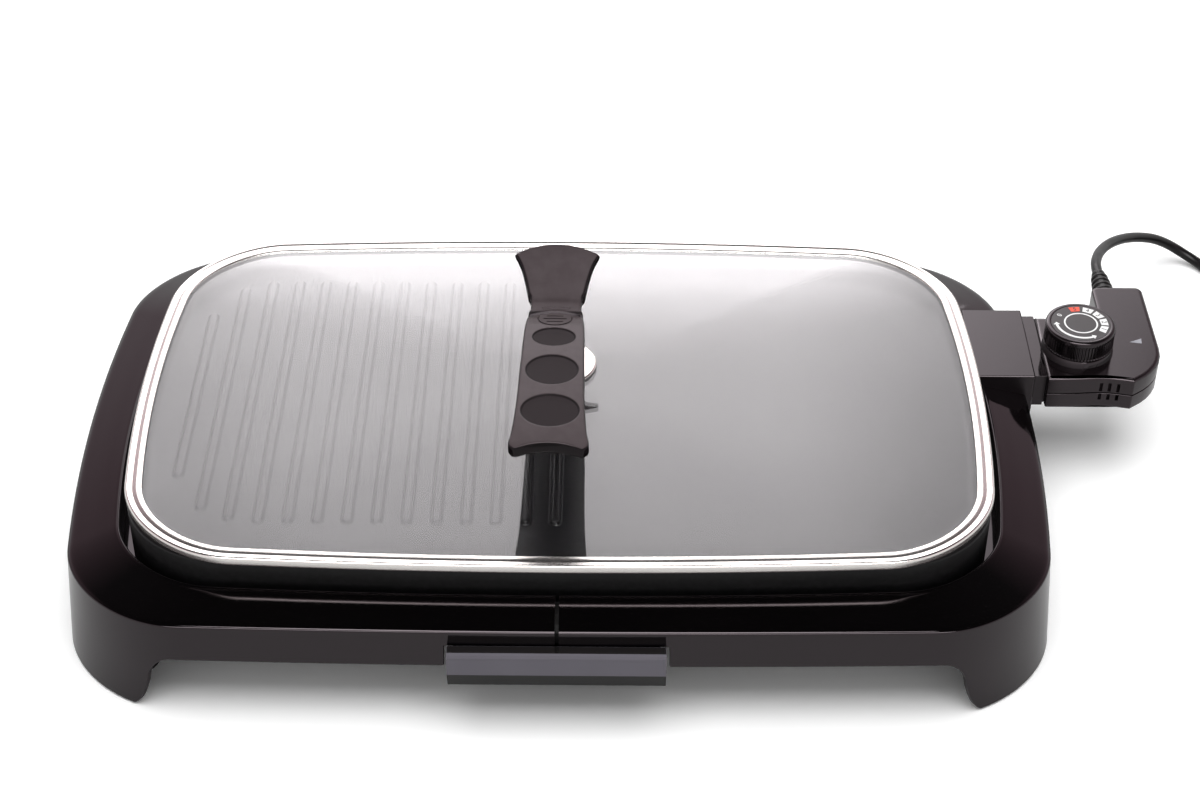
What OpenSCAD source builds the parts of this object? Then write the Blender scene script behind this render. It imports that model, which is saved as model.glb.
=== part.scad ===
// Electric table grill: a ribbed cooking plate in a two-piece plastic base, with a
// lift-off glass lid, a slide-out drip tray and a plug-in temperature controller.
// X runs towards the controller, Y towards the back, Z up from the table.
// Most pieces are drawn about the middle of the base, then moved by placed().

/* [Base ring] */
// Width of the base at its outer edge
base_w = 580; // [570:1:590]
// Depth of the base at its outer edge
base_d = 365; // [358:1:372]
// Radius of the base's corners
base_corner = 64; // [60:1:68]
// How far the left and right sides bow outwards
side_bow = 15.5; // [12:0.5:18]
// How far the front and back bow outwards
front_bow = 5; // [3:0.5:7]
// Height of the outer edge, where the shoulder meets the skirt
edge_z = 63; // [61:0.5:64]
// Height of the inner crest of the shoulder
crest_z = 70; // [69:0.5:71]
// Height of the skirt's lower edge between the feet
skirt_z = 39; // [37:0.5:40]
// Width of the shoulder at the sides
shoulder_side = 28; // [27:0.5:29]
// Width of the shoulder at the front and back
shoulder_front = 24; // [23:0.5:25]
// Wall thickness of the base
wall = 2.6; // [2.4:0.1:2.8]
// Outward slope of the skirt in degrees
skirt_flare = 4.6; // [3:0.1:5]
// Gap between the two halves of the base
seam_gap = 2.4; // [1.5:0.1:3]

/* [Feet] */
// Distance from the middle to a foot, along the front
foot_x = 243; // [240:1:246]
// Distance from the middle to a foot, along a side
foot_y = 100; // [96:1:104]
// Width of the curve that joins a foot to the front skirt
foot_curve_x = 28; // [24:1:32]
// Width of the curve that joins a foot to the side skirt
foot_curve_y = 22; // [18:1:24]
// Diameter of a rubber pad
pad_d = 16; // [14:1:18]

/* [Cooking plate] */
// Width of the plate's outer wall
plate_w = 510; // [508:1:512]
// Depth of the plate's outer wall
plate_d = 312; // [310:1:313]
// Radius of the plate's corners
plate_corner = 46; // [44:1:50]
// Height of the cooking surface
floor_z = 79.8; // [79:0.1:80.5]
// Thickness of the plate's floor
floor_t = 5; // [4:0.5:5.5]
// Number of ribs on the left half
rib_count = 14; // [10:1:14]
// Distance from rib to rib
rib_pitch = 17.06; // [16:0.02:17.1]
// Width of a rib
rib_w = 6; // [4:0.5:7]
// Height of a rib above the cooking surface
rib_h = 2.5; // [1.5:0.1:3]
// Diameter of the fat drain
drain_d = 10; // [8:1:12]

/* [Lid] */
// Width of the lid over its steel rim
lid_w = 511.6; // [510:0.2:513]
// Depth of the lid over its steel rim
lid_d = 319; // [317:0.5:321]
// Radius of the lid's corners
lid_corner = 60; // [56:1:62]
// Height of the rim's underside
lid_z = 87; // [87:0.1:88]
// Width of the steel rim, seen from above
rim_w = 9.5; // [8:0.5:11]
// Thickness of the glass
glass_t = 3.4; // [3:0.1:4]
// Rise of the glass dome
dome_h = 6.5; // [5:0.5:8]
// Diameter of the steel disc under the handle
disc_d = 46; // [40:1:50]

/* [Lid handle] */
// How far the handle sits left of the lid's middle
handle_left = 4; // [0:0.5:5]
// Turn of the handle on its single post, in degrees
handle_turn = 0.6; // [0:0.1:2]
// How far the post stands behind the slotted cap
post_back = 18; // [17:0.5:19]
// Distance from the cap to the front corners of the grip
grip_reach = 123; // [118:1:126]
// Distance from the cap to the rear corners of the flap
flap_reach = 49; // [46:1:52]
// Half width of the grip's flared front end
grip_half = 23.4; // [22:0.2:24]
// Half width of the flap's flared rear end
flap_half = 25.7; // [24:0.1:26]

/* [Drip tray] */
// Width of the tray's handle bar
bar_w = 122; // [118:1:123]
// Width of the tray
tray_w = 116; // [110:1:117]
// Depth of the tray
tray_d = 196; // [180:1:200]
// Height of the tray's floor
tray_z = 31; // [30:0.5:32]
// Height of the tray's walls
tray_h = 18.5; // [16:0.5:19]

/* [Controller] */
// Middle of the socket, measured from the middle of the base towards the back
socket_y = 69; // [66:1:72]
// Width of the socket block
socket_w = 70; // [68:1:72]
// Height of the controller's top face
ctrl_top = 77; // [76:0.5:78]
// Thickness of the controller
ctrl_h = 23; // [22:0.5:24]
// Diameter of the knob
knob_d = 42.8; // [40:0.2:44]
// Height of the knob's ribbed part
knob_h = 14.8; // [13:0.2:16]
// Number of ribs round the knob
knob_ribs = 48; // [36:2:60]

/* [Cord] */
// Diameter of the cord
cord_d = 7; // [6.8:0.1:7]
// Radius of the coil's outer turns, at the middle of the cord
coil_r = 42.5; // [42:0.5:43]
// Diameter of the plug's body
plug_d = 37; // [35:1:38]

/* [Hidden] */
$fn = 48;
slack = 0.3;                                  // clearance between pieces that move apart
ring_left = base_w / 2 + (edge_z - skirt_z) * tan(skirt_flare);
ctrl_right = 377;                             // the controller's outermost face
front_reach = 195;                            // the tray handle's outermost face
flare_share = shoulder_front / shoulder_side; // the front and back skirts flare less
back_reach = base_d / 2 + (edge_z - skirt_z) * tan(skirt_flare) * flare_share;
mid_x = (ctrl_right - ring_left) / 2;
mid_y = (back_reach - front_reach) / 2;

corner_steps = 14;
// Angles round a corner, closer together where the foot's edge falls away
foot_angles = [0, 4, 7.5, 10.5, 13, 15, 16.5, 18, 20, 22.5, 25.5, 30, 37, 46, 56, 66, 78, 90];
notch_half = bar_w / 2 + 1.9;                 // half width of the skirt's cut-out for the tray
notch_z = 53.5;
ledge_z = 52.5;                               // the plate and the reflector rest here
ledge_in = 40;                                // the ledge's inner end, in from the outer edge
crest_bow = 16;
crest_front_bow = 8.5;
crest_corner = base_corner - 14;
foot_clear = 1;                               // the skirt stops short of the table

plate_bow = 14;
plate_front_bow = 8.5;
plate_top = lid_z;
lid_bow = 12.6;
lid_front_bow = 8.9;
seat_scale = 0.2;                             // the dome is flat inside this share of its outline
glass_z = lid_z + 0.7;
disc_z = glass_z + glass_t + dome_h * (1 - seat_scale * seat_scale);
post_right = 1.6;                             // the post stands off the handle's middle line

ribs_front = -112.8;                          // where the ribs end
ribs_back = 124;
rib_first = -2;

drain_at = [14, -20];
element_r = 3.2;
element_z = floor_z - floor_t - element_r;
pin_space = 24;
pin_z = 64;                                   // the terminal pins and the probe
block_in = 250;
socket_in = 256;
socket_out = 294;
socket_top = 78;
socket_h = 33;

ctrl_z = ctrl_top - ctrl_h;
parting_z = ctrl_top - 11.5;
knob_x = 324.5;
knob_y = socket_y - 4;
seat_h = 4.5;
knob_z = ctrl_top + seat_h + slack;
relief_at = [355, 124, 66];
ctrl_screws = [[312, 42], [360, 52], [366, 112]];

cord_r = cord_d / 2;
coil_at = [508, 250];
coil_half = cord_d + 0.6;                     // half width of two turns side by side
coil_z = 1;                                   // the tie holds the coil this far off the table
plug_at = [467, 150, plug_d / 2];
// The cord from the controller to its coil
cord_route = [
    [355, 162, 66], [355.4, 170, 65.4], [356.6, 178, 63.8], [359.3, 188, 61], [363.5, 200, 57],
    [370, 214, 52], [378, 227, 47], [387, 239, 41.5], [397, 250, 35.5], [407, 258.6, 29.8],
    [417, 265.4, 24], [426, 269.5, 18.3], [434, 271.2, 13], [441, 270, 9], [447.5, 266.6, 6.2],
    [453, 261.4, 4.7], [458, 254, 4.2], [462, 246.5, 4.4]
];
// The cord from the coil to the plug
lead_route = [
    [465.5, 250, 18.6], [465.5, 241, 18.6], [465.5, 229, 18.5], [465.7, 215, 18.5],
    [466.2, 203, 18.5], [466.8, 193, 18.5], [467, 184, plug_at[2]]
];

// ---- outlines and skins ----

// A rectangle's point pushed outwards, most in the middle of each side
function bowed(p, hx, hy, bx, by) = [
    p[0] + bx * (p[0] / hx) * (1 - pow(p[1] / hy, 2)),
    p[1] + by * (p[1] / hy) * (1 - pow(p[0] / hx, 2))
];

// A closed rounded outline with bowed sides, anticlockwise
function outline(w, d, r, bx, by, side = 6) =
    let (hx = w / 2 - bx, hy = d / 2 - by)
    [for (q = [0:3])
        let (
            c = [(hx - r) * (q == 0 || q == 3 ? 1 : -1), (hy - r) * (q < 2 ? 1 : -1)],
            n = [(hx - r) * (q < 2 ? -1 : 1), (hy - r) * (q == 0 || q == 3 ? 1 : -1)],
            e = r * [cos(90 * q + 90), sin(90 * q + 90)]
        )
        each concat(
            [for (i = [0:corner_steps / 2])
                let (a = 90 * (q + 2 * i / corner_steps))
                bowed(c + r * [cos(a), sin(a)], hx, hy, bx, by)],
            [for (i = [1:side - 1]) bowed(c + e + (n - c) * i / side, hx, hy, bx, by)]
        )];

function at_height(points, z) = [for (p = points) [p[0], p[1], z]];

// Joins rings of points into one closed surface, as a tube or with flat ends
module skin(rings, closed = false) {
    m = len(rings);
    n = len(rings[0]);
    function id(i, j) = (i % m) * n + j % n;
    sides = [for (i = [0:m - (closed ? 1 : 2)], j = [0:n - 1])
        each [[id(i, j), id(i + 1, j), id(i + 1, j + 1)],
              [id(i, j), id(i + 1, j + 1), id(i, j + 1)]]];
    ends = closed ? [] : [[for (j = [0:n - 1]) j], [for (j = [n - 1:-1:0]) (m - 1) * n + j]];
    polyhedron([for (r = rings) each r], concat(sides, ends), convexity = 10);
}

// Circles carried along a route
module swept(route, r, sides) {
    last = len(route) - 1;
    skin([for (i = [0:last])
        let (
            t = route[min(i + 1, last)] - route[max(i - 1, 0)],
            s = [t[1], -t[0], 0] / norm([t[0], t[1]]),
            u = cross(s, t) / norm(t)
        )
        [for (j = [0:sides - 1])
            let (a = 360 * j / sides)
            route[i] + r * (cos(a) * s + sin(a) * u)]]);
}

module placed() {
    translate([-mid_x, -mid_y, 0]) children();
}

// ---- base ring ----

front_stops = [seam_gap / (base_w - 2 * side_bow - 2 * base_corner),
    2 * notch_half / (base_w - 2 * side_bow - 2 * base_corner),
    2 * notch_half / (base_w - 2 * side_bow - 2 * base_corner) + 0.003, 0.6];
side_stops = [-0.88, -0.865, -0.84, -0.79, -0.74, -0.69, -0.4, 0, 0.4, 0.69, 0.74, 0.79, 0.84,
    0.865, 0.88];

// The left half of an outline, from the front seam round to the back seam
function half_outline(w, d, r, bx, by) =
    let (hx = w / 2 - bx, hy = d / 2 - by, cx = hx - r, cy = hy - r)
    [for (p = concat(
        [for (f = front_stops) [-f * cx, -hy]],
        [for (a = foot_angles) [-cx - r * sin(a), -cy - r * cos(a)]],
        [for (f = side_stops) [-hx, f * cy]],
        [for (i = [len(foot_angles) - 1:-1:0])
            [-cx - r * sin(foot_angles[i]), cy + r * cos(foot_angles[i])]],
        [[-0.6 * cx, hy], [-0.3 * cx, hy], [-front_stops[0] * cx, hy]]
    )) bowed(p, hx, hy, bx, by)];

// From the skirt's edge down to a foot: a round shoulder, then a curve out to the toe
function foot_edge(u) = skirt_z * (u <= 0 ? 1 : u >= 1 ? 0
    : u < 0.52 ? 0.55 + 0.45 * sqrt(1 - pow(u / 0.52, 2)) : 0.55 * pow((1 - u) / 0.48, 1.7));

// Height of the skirt's lower edge at a point of the outline
function lower_edge(x, y) =
    y < 0 && abs(x) < notch_half + 0.2 && abs(y) > foot_y ? notch_z
    : abs(x) < foot_x && abs(y) > foot_y + 10
        ? max(foot_clear, foot_edge((abs(x) - foot_x + foot_curve_x) / foot_curve_x))
    : abs(y) < foot_y
        ? max(foot_clear, foot_edge((abs(y) - foot_y + foot_curve_y) / foot_curve_y))
    : foot_clear;

function flare(z) = -(edge_z - z) * tan(skirt_flare);

// The shell's cross-section as [distance in from the edge, height]
function shell_section(low) = [
    [flare(low), low], [flare((low + edge_z) / 2), (low + edge_z) / 2], [0, edge_z - 1.6],
    [0.7, edge_z], [2.4, edge_z + 1], [8, edge_z + 3.3], [15, edge_z + 5.4],
    [21, edge_z + 6.6], [25.5, crest_z], [27.4, crest_z - 0.7], [shoulder_side, crest_z - 2.6],
    [shoulder_side, ledge_z], [ledge_in, ledge_z], [ledge_in, ledge_z - 2.5],
    [shoulder_side - wall, ledge_z - 2.5], [shoulder_side - wall, crest_z - 3.2],
    [15, edge_z + 2.7], [8, edge_z + 0.6], [wall, edge_z - 1.6],
    [wall + flare((low + edge_z) / 2), (low + edge_z) / 2], [wall + flare(low), low]
];

// One half of the ring, with its feet, as a single moulded shell
module half_ring() {
    outer = half_outline(base_w, base_d, base_corner, side_bow, front_bow);
    crest = half_outline(base_w - 2 * shoulder_side, base_d - 2 * shoulder_front,
        crest_corner, crest_bow, crest_front_bow);
    skin([for (k = [0:len(outer) - 1])
        [for (s = shell_section(lower_edge(outer[k][0], outer[k][1])))
            let (p = outer[k] + (crest[k] - outer[k]) * s[0] / shoulder_side)
            [p[0], p[1], s[1]]]]);
}

corner_at = [base_w / 2 - side_bow - base_corner, base_d / 2 - front_bow - base_corner];
boss_at = corner_at + (base_corner - 20) * [cos(45), sin(45)];

// A boss for a rubber pad, tied to the foot's wall by two webs
module foot_boss() {
    translate([-boss_at[0], -boss_at[1], 3]) difference() {
        cylinder(r = pad_d / 2 + 1.6, h = 30);
        translate([0, 0, -1]) cylinder(r = pad_d / 2 + 0.05, h = 4);
    }
    intersection() {
        translate([-boss_at[0], -boss_at[1], 14]) for (a = [200, 250])
            rotate(a) translate([pad_d / 2, -1.2, 0]) cube([30, 2.4, 19]);
        linear_extrude(40)
            polygon(outline(base_w + 3, base_d + 3, base_corner + 1.5, side_bow, front_bow));
    }
}

module half_base() {
    difference() {
        half_ring();
        strip_holes(1.4);
    }
    foot_boss();
    mirror([0, 1, 0]) foot_boss();
}

module base_left() {
    color("#1c191b") placed() half_base();
}

module base_right() {
    color("#1c191b") placed() difference() {
        mirror([1, 0, 0]) half_base();
        translate([socket_in - 10, socket_y - socket_w / 2, socket_top - socket_h])
            cube([60, socket_w, 60]);
    }
}

// Position across the ring at its front middle, for a distance in from the edge
function front_y(in) = -base_d / 2 + 0.1 + in * flare_share;

// The strips' screws, at the front and back seams
module at_strips() {
    for (x = [-9, 9], s = [-1, 1]) translate([x, s * front_y(13), edge_z - 1.2]) children();
}

module strip_holes(r) {
    at_strips() translate([0, 0, -10]) cylinder(r = r, h = 13.2);
}

// A strip that bridges the seam from inside
module seam_strip(low) {
    rotate([90, 0, 90]) linear_extrude(28, center = true) polygon([
        [front_y(wall + flare(low)), low], [front_y(wall), edge_z - 1.6],
        [front_y(8), edge_z + 0.6], [front_y(15), edge_z + 2.7],
        [front_y(shoulder_side - wall), crest_z - 3.2],
        [front_y(shoulder_side - wall), crest_z - 14],
        [front_y(shoulder_side - wall - 2), crest_z - 14],
        [front_y(shoulder_side - wall - 2), crest_z - 5.8],
        [front_y(15), edge_z + 0.5], [front_y(8), edge_z - 1.6],
        [front_y(wall + 2.2), edge_z - 3.6], [front_y(wall + 2.2 + flare(low)), low]
    ]);
}

module seam_strips() {
    color("#232022") placed() difference() {
        union() {
            seam_strip(notch_z + 0.5);
            mirror([0, 1, 0]) seam_strip(skirt_z + 1);
        }
        strip_holes(1.5);
    }
}

module strip_screws() {
    color("silver") placed() at_strips() {
        translate([0, 0, -1.8]) cylinder(r = 1.4, h = 5);
        translate([0, 0, -3]) cylinder(r = 2.8, h = 1.5);
    }
}

module foot_pads() {
    color("#2b2b2b") placed() for (sx = [-1, 1], sy = [-1, 1])
        translate([sx * boss_at[0], sy * boss_at[1], 0]) rotate_extrude()
            polygon([[0, 0], [pad_d / 2 - 1, 0], [pad_d / 2, 1], [pad_d / 2, 6], [0, 6]]);
}

// ---- plate and heating ----

module heat_reflector() {
    floor = outline(plate_w - 1, plate_d - 1, plate_corner, plate_bow, plate_front_bow);
    rim = outline(plate_w - 14, plate_d - 14, plate_corner - 4, plate_bow, plate_front_bow);
    color("silver") placed() difference() {
        translate([0, 0, ledge_z]) {
            linear_extrude(0.8) polygon(floor);
            linear_extrude(5) difference() {
                polygon(rim);
                polygon([for (p = rim) p * 0.995]);
            }
        }
        translate([drain_at[0], drain_at[1], ledge_z - 1]) cylinder(r = drain_d, h = 10);
        translate([socket_in - 10, socket_y - socket_w / 2, ledge_z - 1])
            cube([60, socket_w, 20]);
    }
}

// Two rails that carry the drip tray
module tray_rails() {
    color("#2a2628") placed() for (s = [-1, 1])
        translate([s * (tray_w / 2 + 2.6), -22, 0]) {
            translate([-1.2, -tray_d / 2 - 20, tray_z - 2])
                cube([2.4, tray_d + 16, ledge_z - tray_z + 2]);
            translate([s > 0 ? -5 : -1.2, -tray_d / 2 - 20, tray_z - 2 - slack])
                cube([6.2, tray_d + 16, 2]);
        }
}

// How much shorter a rib is, where it follows a corner of radius r
function rib_cut(x, r) = let (over = max(0, abs(x) - 224.4 + r)) r - sqrt(r * r - over * over);

// A bar with half-round ends
function capsule(x, y0, y1, r) = [
    for (i = [0:6]) [x + r * cos(30 * i), y1 - r + r * sin(30 * i)],
    for (i = [6:12]) [x + r * cos(30 * i), y0 + r + r * sin(30 * i)]
];

module cooking_plate() {
    levels = [
        [3.2, ledge_z + 0.8], [0.6, ledge_z + 0.8], [0, ledge_z + 1.4],
        [0, plate_top - 1.2], [0.4, plate_top - 0.4], [1.2, plate_top],
        [3.8, plate_top], [5, plate_top - 0.6], [8, floor_z + 2.4], [10.5, floor_z + 0.4],
        [12, floor_z], [12, floor_z - 1.5], [11, floor_z - floor_t], [3.2, floor_z - floor_t]
    ];
    floor = outline(plate_w - 22, plate_d - 22, plate_corner - 11, plate_bow, plate_front_bow);
    color("#2e2e30") placed() difference() {
        union() {
            skin([for (l = levels) at_height(outline(plate_w - 2 * l[0], plate_d - 2 * l[0],
                plate_corner - l[0], plate_bow, plate_front_bow), l[1])], closed = true);
            translate([0, 0, floor_z - floor_t]) linear_extrude(floor_t) polygon(floor);
            translate([0, 0, floor_z - 1]) for (i = [0:rib_count - 1]) {
                x = rib_first - i * rib_pitch;
                linear_extrude(1 + rib_h)
                    polygon(capsule(x, ribs_front + rib_cut(x, 47), ribs_back - rib_cut(x, 44),
                        rib_w / 2));
            }
        }
        translate([drain_at[0], drain_at[1], floor_z - floor_t - 1]) cylinder(r = drain_d / 2, h = 12);
        translate([plate_w / 2 - 30, socket_y - 22, ledge_z - 1])
            cube([40, 44, floor_z - floor_t - ledge_z + 1]);
    }
}

// A tube along a route whose bends are all right angles
module bent_tube(route, bend, r) {
    function way(i) = (route[i + 1] - route[i]) / norm(route[i + 1] - route[i]);
    last = len(route) - 1;
    for (i = [0:last - 1]) {
        from = route[i] + (i == 0 ? 0 : bend) * way(i);
        to = route[i + 1] - (i == last - 1 ? 0 : bend) * way(i);
        translate(from) rotate([0, 90, atan2(way(i)[1], way(i)[0])])
            cylinder(r = r, h = norm(to - from));
    }
    for (i = [1:last - 1]) {
        a = way(i - 1);
        b = way(i);
        start = a[0] * b[1] - a[1] * b[0] > 0 ? -b : a;
        translate(route[i] - bend * a + bend * b) rotate(atan2(start[1], start[0]))
            rotate_extrude(angle = 90) translate([bend, 0]) circle(r);
    }
}

module heating_element() {
    y0 = socket_y - pin_space / 2;
    y1 = socket_y + pin_space / 2;
    color("#8a8580") placed() translate([0, 0, element_z]) bent_tube([
        [block_in, y1], [222, y1], [222, 112], [-222, 112], [-222, -108], [222, -108], [222, y0],
        [block_in, y0]
    ], 15, element_r);
}

// Straps that hold the element to the plate
module element_clips() {
    color("silver") placed() for (x = [-150, 0, 150], y = [-108, 112])
        translate([x, y, 0]) {
            translate([-5, -8, element_z - element_r - 1.2]) cube([10, 16, 1.2]);
            for (s = [-1, 1])
                translate([-5, s > 0 ? element_r : -8, element_z - element_r])
                    cube([10, 8 - element_r, 2 * element_r]);
        }
}

// Carries the pins under the plate's edge, where the element ends
module terminal_block() {
    color("#b8b0a4") placed() difference() {
        translate([block_in, socket_y - 21, 57])
            cube([socket_in - block_in, 42, floor_z - floor_t - 57]);
        translate([block_in - 1, socket_y, pin_z]) rotate([0, 90, 0]) cylinder(r = 3.3, h = 20);
    }
}

module terminal_pins() {
    color("silver") placed() for (s = [-1, 1])
        translate([socket_in, socket_y + s * pin_space / 2, pin_z]) rotate([0, 90, 0]) {
            cylinder(r = 4, h = 5);
            cylinder(r = 2.4, h = 33);
            translate([0, 0, 33]) cylinder(r1 = 2.4, r2 = 1.2, h = 1.6);
        }
}

// A lug under the plate with a bore for the controller's probe
module probe_sleeve() {
    color("#3a3a3c") placed() difference() {
        translate([190, socket_y - 8, pin_z - 6])
            cube([block_in - 190, 16, floor_z - floor_t - pin_z + 6]);
        translate([180, socket_y, pin_z]) rotate([0, 90, 0]) cylinder(r = 3.3, h = 90);
    }
}

// The rectangular sleeve that takes the controller's nose
module socket_block() {
    color("#211d1f") placed() difference() {
        translate([socket_in, socket_y - socket_w / 2, socket_top - socket_h])
            cube([socket_out - socket_in, socket_w, socket_h]);
        translate([socket_in + 4, socket_y - socket_w / 2 + 3, socket_top - socket_h + 3])
            cube([60, socket_w - 6, socket_h - 6]);
        translate([socket_in - 1, socket_y - 20, socket_top - socket_h + 6])
            cube([20, 40, socket_h - 9]);
    }
}

// ---- drip tray ----

tray_front = -front_reach + 11.2;

// Where the handle bar is screwed to the tray
module tray_holes(r) {
    for (s = [-1, 1]) translate([s * 42, tray_front + 4, tray_z + 10])
        rotate([90, 0, 0]) cylinder(r = r, h = 12);
}

module drip_tray() {
    color("#252223") placed() difference() {
        translate([-tray_w / 2, tray_front, tray_z]) cube([tray_w, tray_d, tray_h]);
        translate([-tray_w / 2 + 1.8, tray_front + 1.8, tray_z + 1.8])
            cube([tray_w - 3.6, tray_d - 3.6, tray_h]);
        tray_holes(1.6);
    }
}

// The bar across the tray's front, with a rounded lip over two flat facets
module tray_handle() {
    y0 = -front_reach;
    color("#1f1c1e") placed() difference() {
        rotate([90, 0, 90]) linear_extrude(bar_w, center = true) polygon([
            [y0 + 11.2, tray_z], [y0 + 11.2, 54.6], [y0 + 10.6, 55], [y0 + 5, 55.2],
            [y0 + 3.5, 54.6], [y0 + 2.5, 53.3], [y0 + 2.2, 51.6], [y0 + 0.2, 44.2], [y0, 43],
            [y0 + 3.8, tray_z + 0.8], [y0 + 4.6, tray_z]
        ]);
        tray_holes(1.5);
    }
}

module tray_screws() {
    color("silver") placed() for (s = [-1, 1])
        translate([s * 42, tray_front + 1.8, tray_z + 10]) rotate([90, 0, 0]) {
            cylinder(r = 1.5, h = 9.8);
            translate([0, 0, -2]) cylinder(r = 3, h = 2);
        }
}

// ---- lid ----

function lid_ring(in) = outline(lid_w - 2 * in, lid_d - 2 * in, lid_corner - in, lid_bow,
    lid_front_bow);

// Height of the glass above its edge, for a share of the outline
function dome(s) = dome_h * (1 - pow(max(s, seat_scale), 2));

module lid_glass() {
    shares = [1, 0.93, 0.82, 0.66, 0.48, 0.32, seat_scale];
    last = len(shares) - 1;
    inner = lid_ring(rim_w + 0.5);
    function shell(s, up) = [for (p = inner) [p[0] * s, p[1] * s, glass_z + up + dome(s)]];
    color("#cfd8dc", 0.35) placed() difference() {
        skin(concat(
            [for (i = [last:-1:0]) shell(shares[i], 0)],
            [at_height(lid_ring(1), glass_z), at_height(lid_ring(0.7), glass_z + glass_t / 2),
             at_height(lid_ring(1), glass_z + glass_t)],
            [for (i = [0:last]) shell(shares[i], glass_t)]
        ));
        on_post_axis() translate([0, 0, lid_z]) cylinder(r = 4, h = 20);
    }
}

// The steel band folded round the edge of the glass
module lid_rim() {
    top = glass_z + glass_t;
    section = [
        [0.4, lid_z + 0.2], [0, lid_z + 1], [0, top], [0.5, top + 0.8], [1.6, top + 1.1],
        [4, top + 0.5], [6, top + 0.9], [rim_w - 0.4, top + 0.6], [rim_w, top + 0.05],
        [rim_w - 0.5, top], [1, top], [0.7, top - glass_t / 2], [1, glass_z], [7.5, glass_z],
        [8, lid_z + 0.1], [7.5, lid_z]
    ];
    color("#e8e8e8") placed()
        skin([for (s = section) at_height(lid_ring(s[0]), s[1])], closed = true);
}

module on_axis() {
    translate([-handle_left, 0, 0]) rotate(-handle_turn) children();
}

module on_handle() {
    placed() on_axis() children();
}

module on_post_axis() {
    on_axis() translate([post_right, post_back, 0]) children();
}

module on_post() {
    placed() on_post_axis() children();
}

module handle_disc() {
    color("#f0f0f0") on_post() translate([0, 0, disc_z + 0.8]) difference() {
        rotate_extrude() polygon([
            [0, 0], [disc_d / 2 - 0.6, 0], [disc_d / 2, 0.3], [disc_d / 2 - 0.3, 0.8], [18, 1.4],
            [0, 1.4]
        ]);
        translate([0, 0, -1]) cylinder(r = 3.1, h = 5);
    }
}

// Silicone washers above and below the glass
module glass_washers() {
    color("#d8d8d8") on_post() for (z = [disc_z, disc_z - glass_t - 1.5])
        translate([0, 0, z]) difference() {
            cylinder(r = 11, h = z == disc_z ? 0.8 : 1.5);
            translate([0, 0, -1]) cylinder(r = 3.1, h = 5);
        }
}

module clamp_washer() {
    color("silver") on_post() translate([0, 0, disc_z - glass_t - 2.7]) difference() {
        cylinder(r = 10, h = 1.2);
        translate([0, 0, -1]) cylinder(r = 2.6, h = 4);
    }
}

module handle_screw() {
    color("silver") on_post() translate([0, 0, disc_z - glass_t - 5.2]) {
        cylinder(r = 2.5, h = 49);
        cylinder(r1 = 4.4, r2 = 5, h = 2.5);
    }
}

module handle_post() {
    low = disc_z + 2.2;
    color("#2a2627") on_post() difference() {
        translate([0, 0, low]) rotate_extrude() polygon([
            [0, 0], [12.3, 0], [12.8, 1.2], [11.8, 4], [10.8, 10], [10.4, 20], [11, 135 - low],
            [0, 135 - low]
        ]);
        translate([0, 0, low - 1]) cylinder(r = 2.5, h = 60);
    }
}

// Half widths of the handle along its length, from the rear corners to the front ones
handle_widths = [
    [flap_reach + 14, flap_half + 7], [flap_reach, flap_half], [42, 22], [33, 18.9], [24, 16.6],
    [22, 15.6], [12, 15.2], [11, 16.2], [0, 16.8], [-16, 17.9], [-50, 18.6], [-84, 19.4],
    [-105, 20.7], [-112, 21.6], [6 - grip_reach, grip_half - 1.1], [3.7 - grip_reach, grip_half - 1],
    [2 - grip_reach, grip_half - 2.2], [0.8 - grip_reach, grip_half - 3.6],
    [0.2 - grip_reach, grip_half - 5.4]
];
// The handle's profile from the rear tip forwards along the top, then back underneath
handle_side = [
    [60, 165], [49, 158.4], [36, 149.7], [27, 143.8], [23, 141.5], [19, 141], [13.4, 141],
    [12, 138.6], [10.8, 139.2], [9.6, 141.9], [7, 143.2], [4, 144.4], [0, 145.5], [-5, 146.6],
    [-10, 147.5], [-22, 148.6], [-40, 149.7], [-60, 150.2], [-80, 150], [-100, 149.1],
    [-130, 146.2], [-130, 139], [-100, 139.9], [-80, 140.5], [-60, 140.3], [-36, 138.9],
    [-14, 135], [29.6, 135], [36, 141.6], [49, 153.2], [60, 160]
];
// The thumb recesses as [distance forwards, height of the floor, half width, half depth, slope]
dimples = [[22, 147.6, 12.8, 9.8, 4.5], [55.3, 149.3, 15.4, 14.2, 0.6], [91.8, 148.6, 16.8, 13.8, -2.2]];

// A round recess with a flat floor that follows the slope of the handle
module thumb_recess(d) {
    translate([0, -d[0], d[1]]) rotate([-d[4], 0, 0]) linear_extrude(4)
        polygon([for (i = [0:39]) [d[2] * cos(9 * i), d[3] * sin(9 * i)]]);
}

module lid_handle() {
    front_r = 40;
    rear_r = 62.8;
    color("#38302f") difference() {
        on_handle() difference() {
            intersection() {
                rotate([90, 0, 90]) linear_extrude(80, center = true) polygon(handle_side);
                translate([0, 0, 120]) linear_extrude(60) difference() {
                    intersection() {
                        polygon(concat(
                            [for (p = handle_widths) [p[1], p[0]]],
                            [for (i = [len(handle_widths) - 1:-1:0])
                                [-handle_widths[i][1], handle_widths[i][0]]]
                        ));
                        union() {
                            translate([0, flap_reach + 5.5 - rear_r]) circle(r = rear_r, $fn = 96);
                            translate([-60, -200]) square([120, 220]);
                        }
                    }
                    translate([0, -grip_reach + 4.8 - front_r]) circle(r = front_r, $fn = 96);
                }
            }
            for (d = dimples) thumb_recess(d);
            on_cap() cylinder(r = 9.9, h = 10);
        }
        on_post() translate([0, 0, 130]) cylinder(r = 2.5, h = 8);
    }
}

module on_cap() {
    translate([0, 0, 143.1]) rotate([-16, 0, 0]) children();
}

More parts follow.
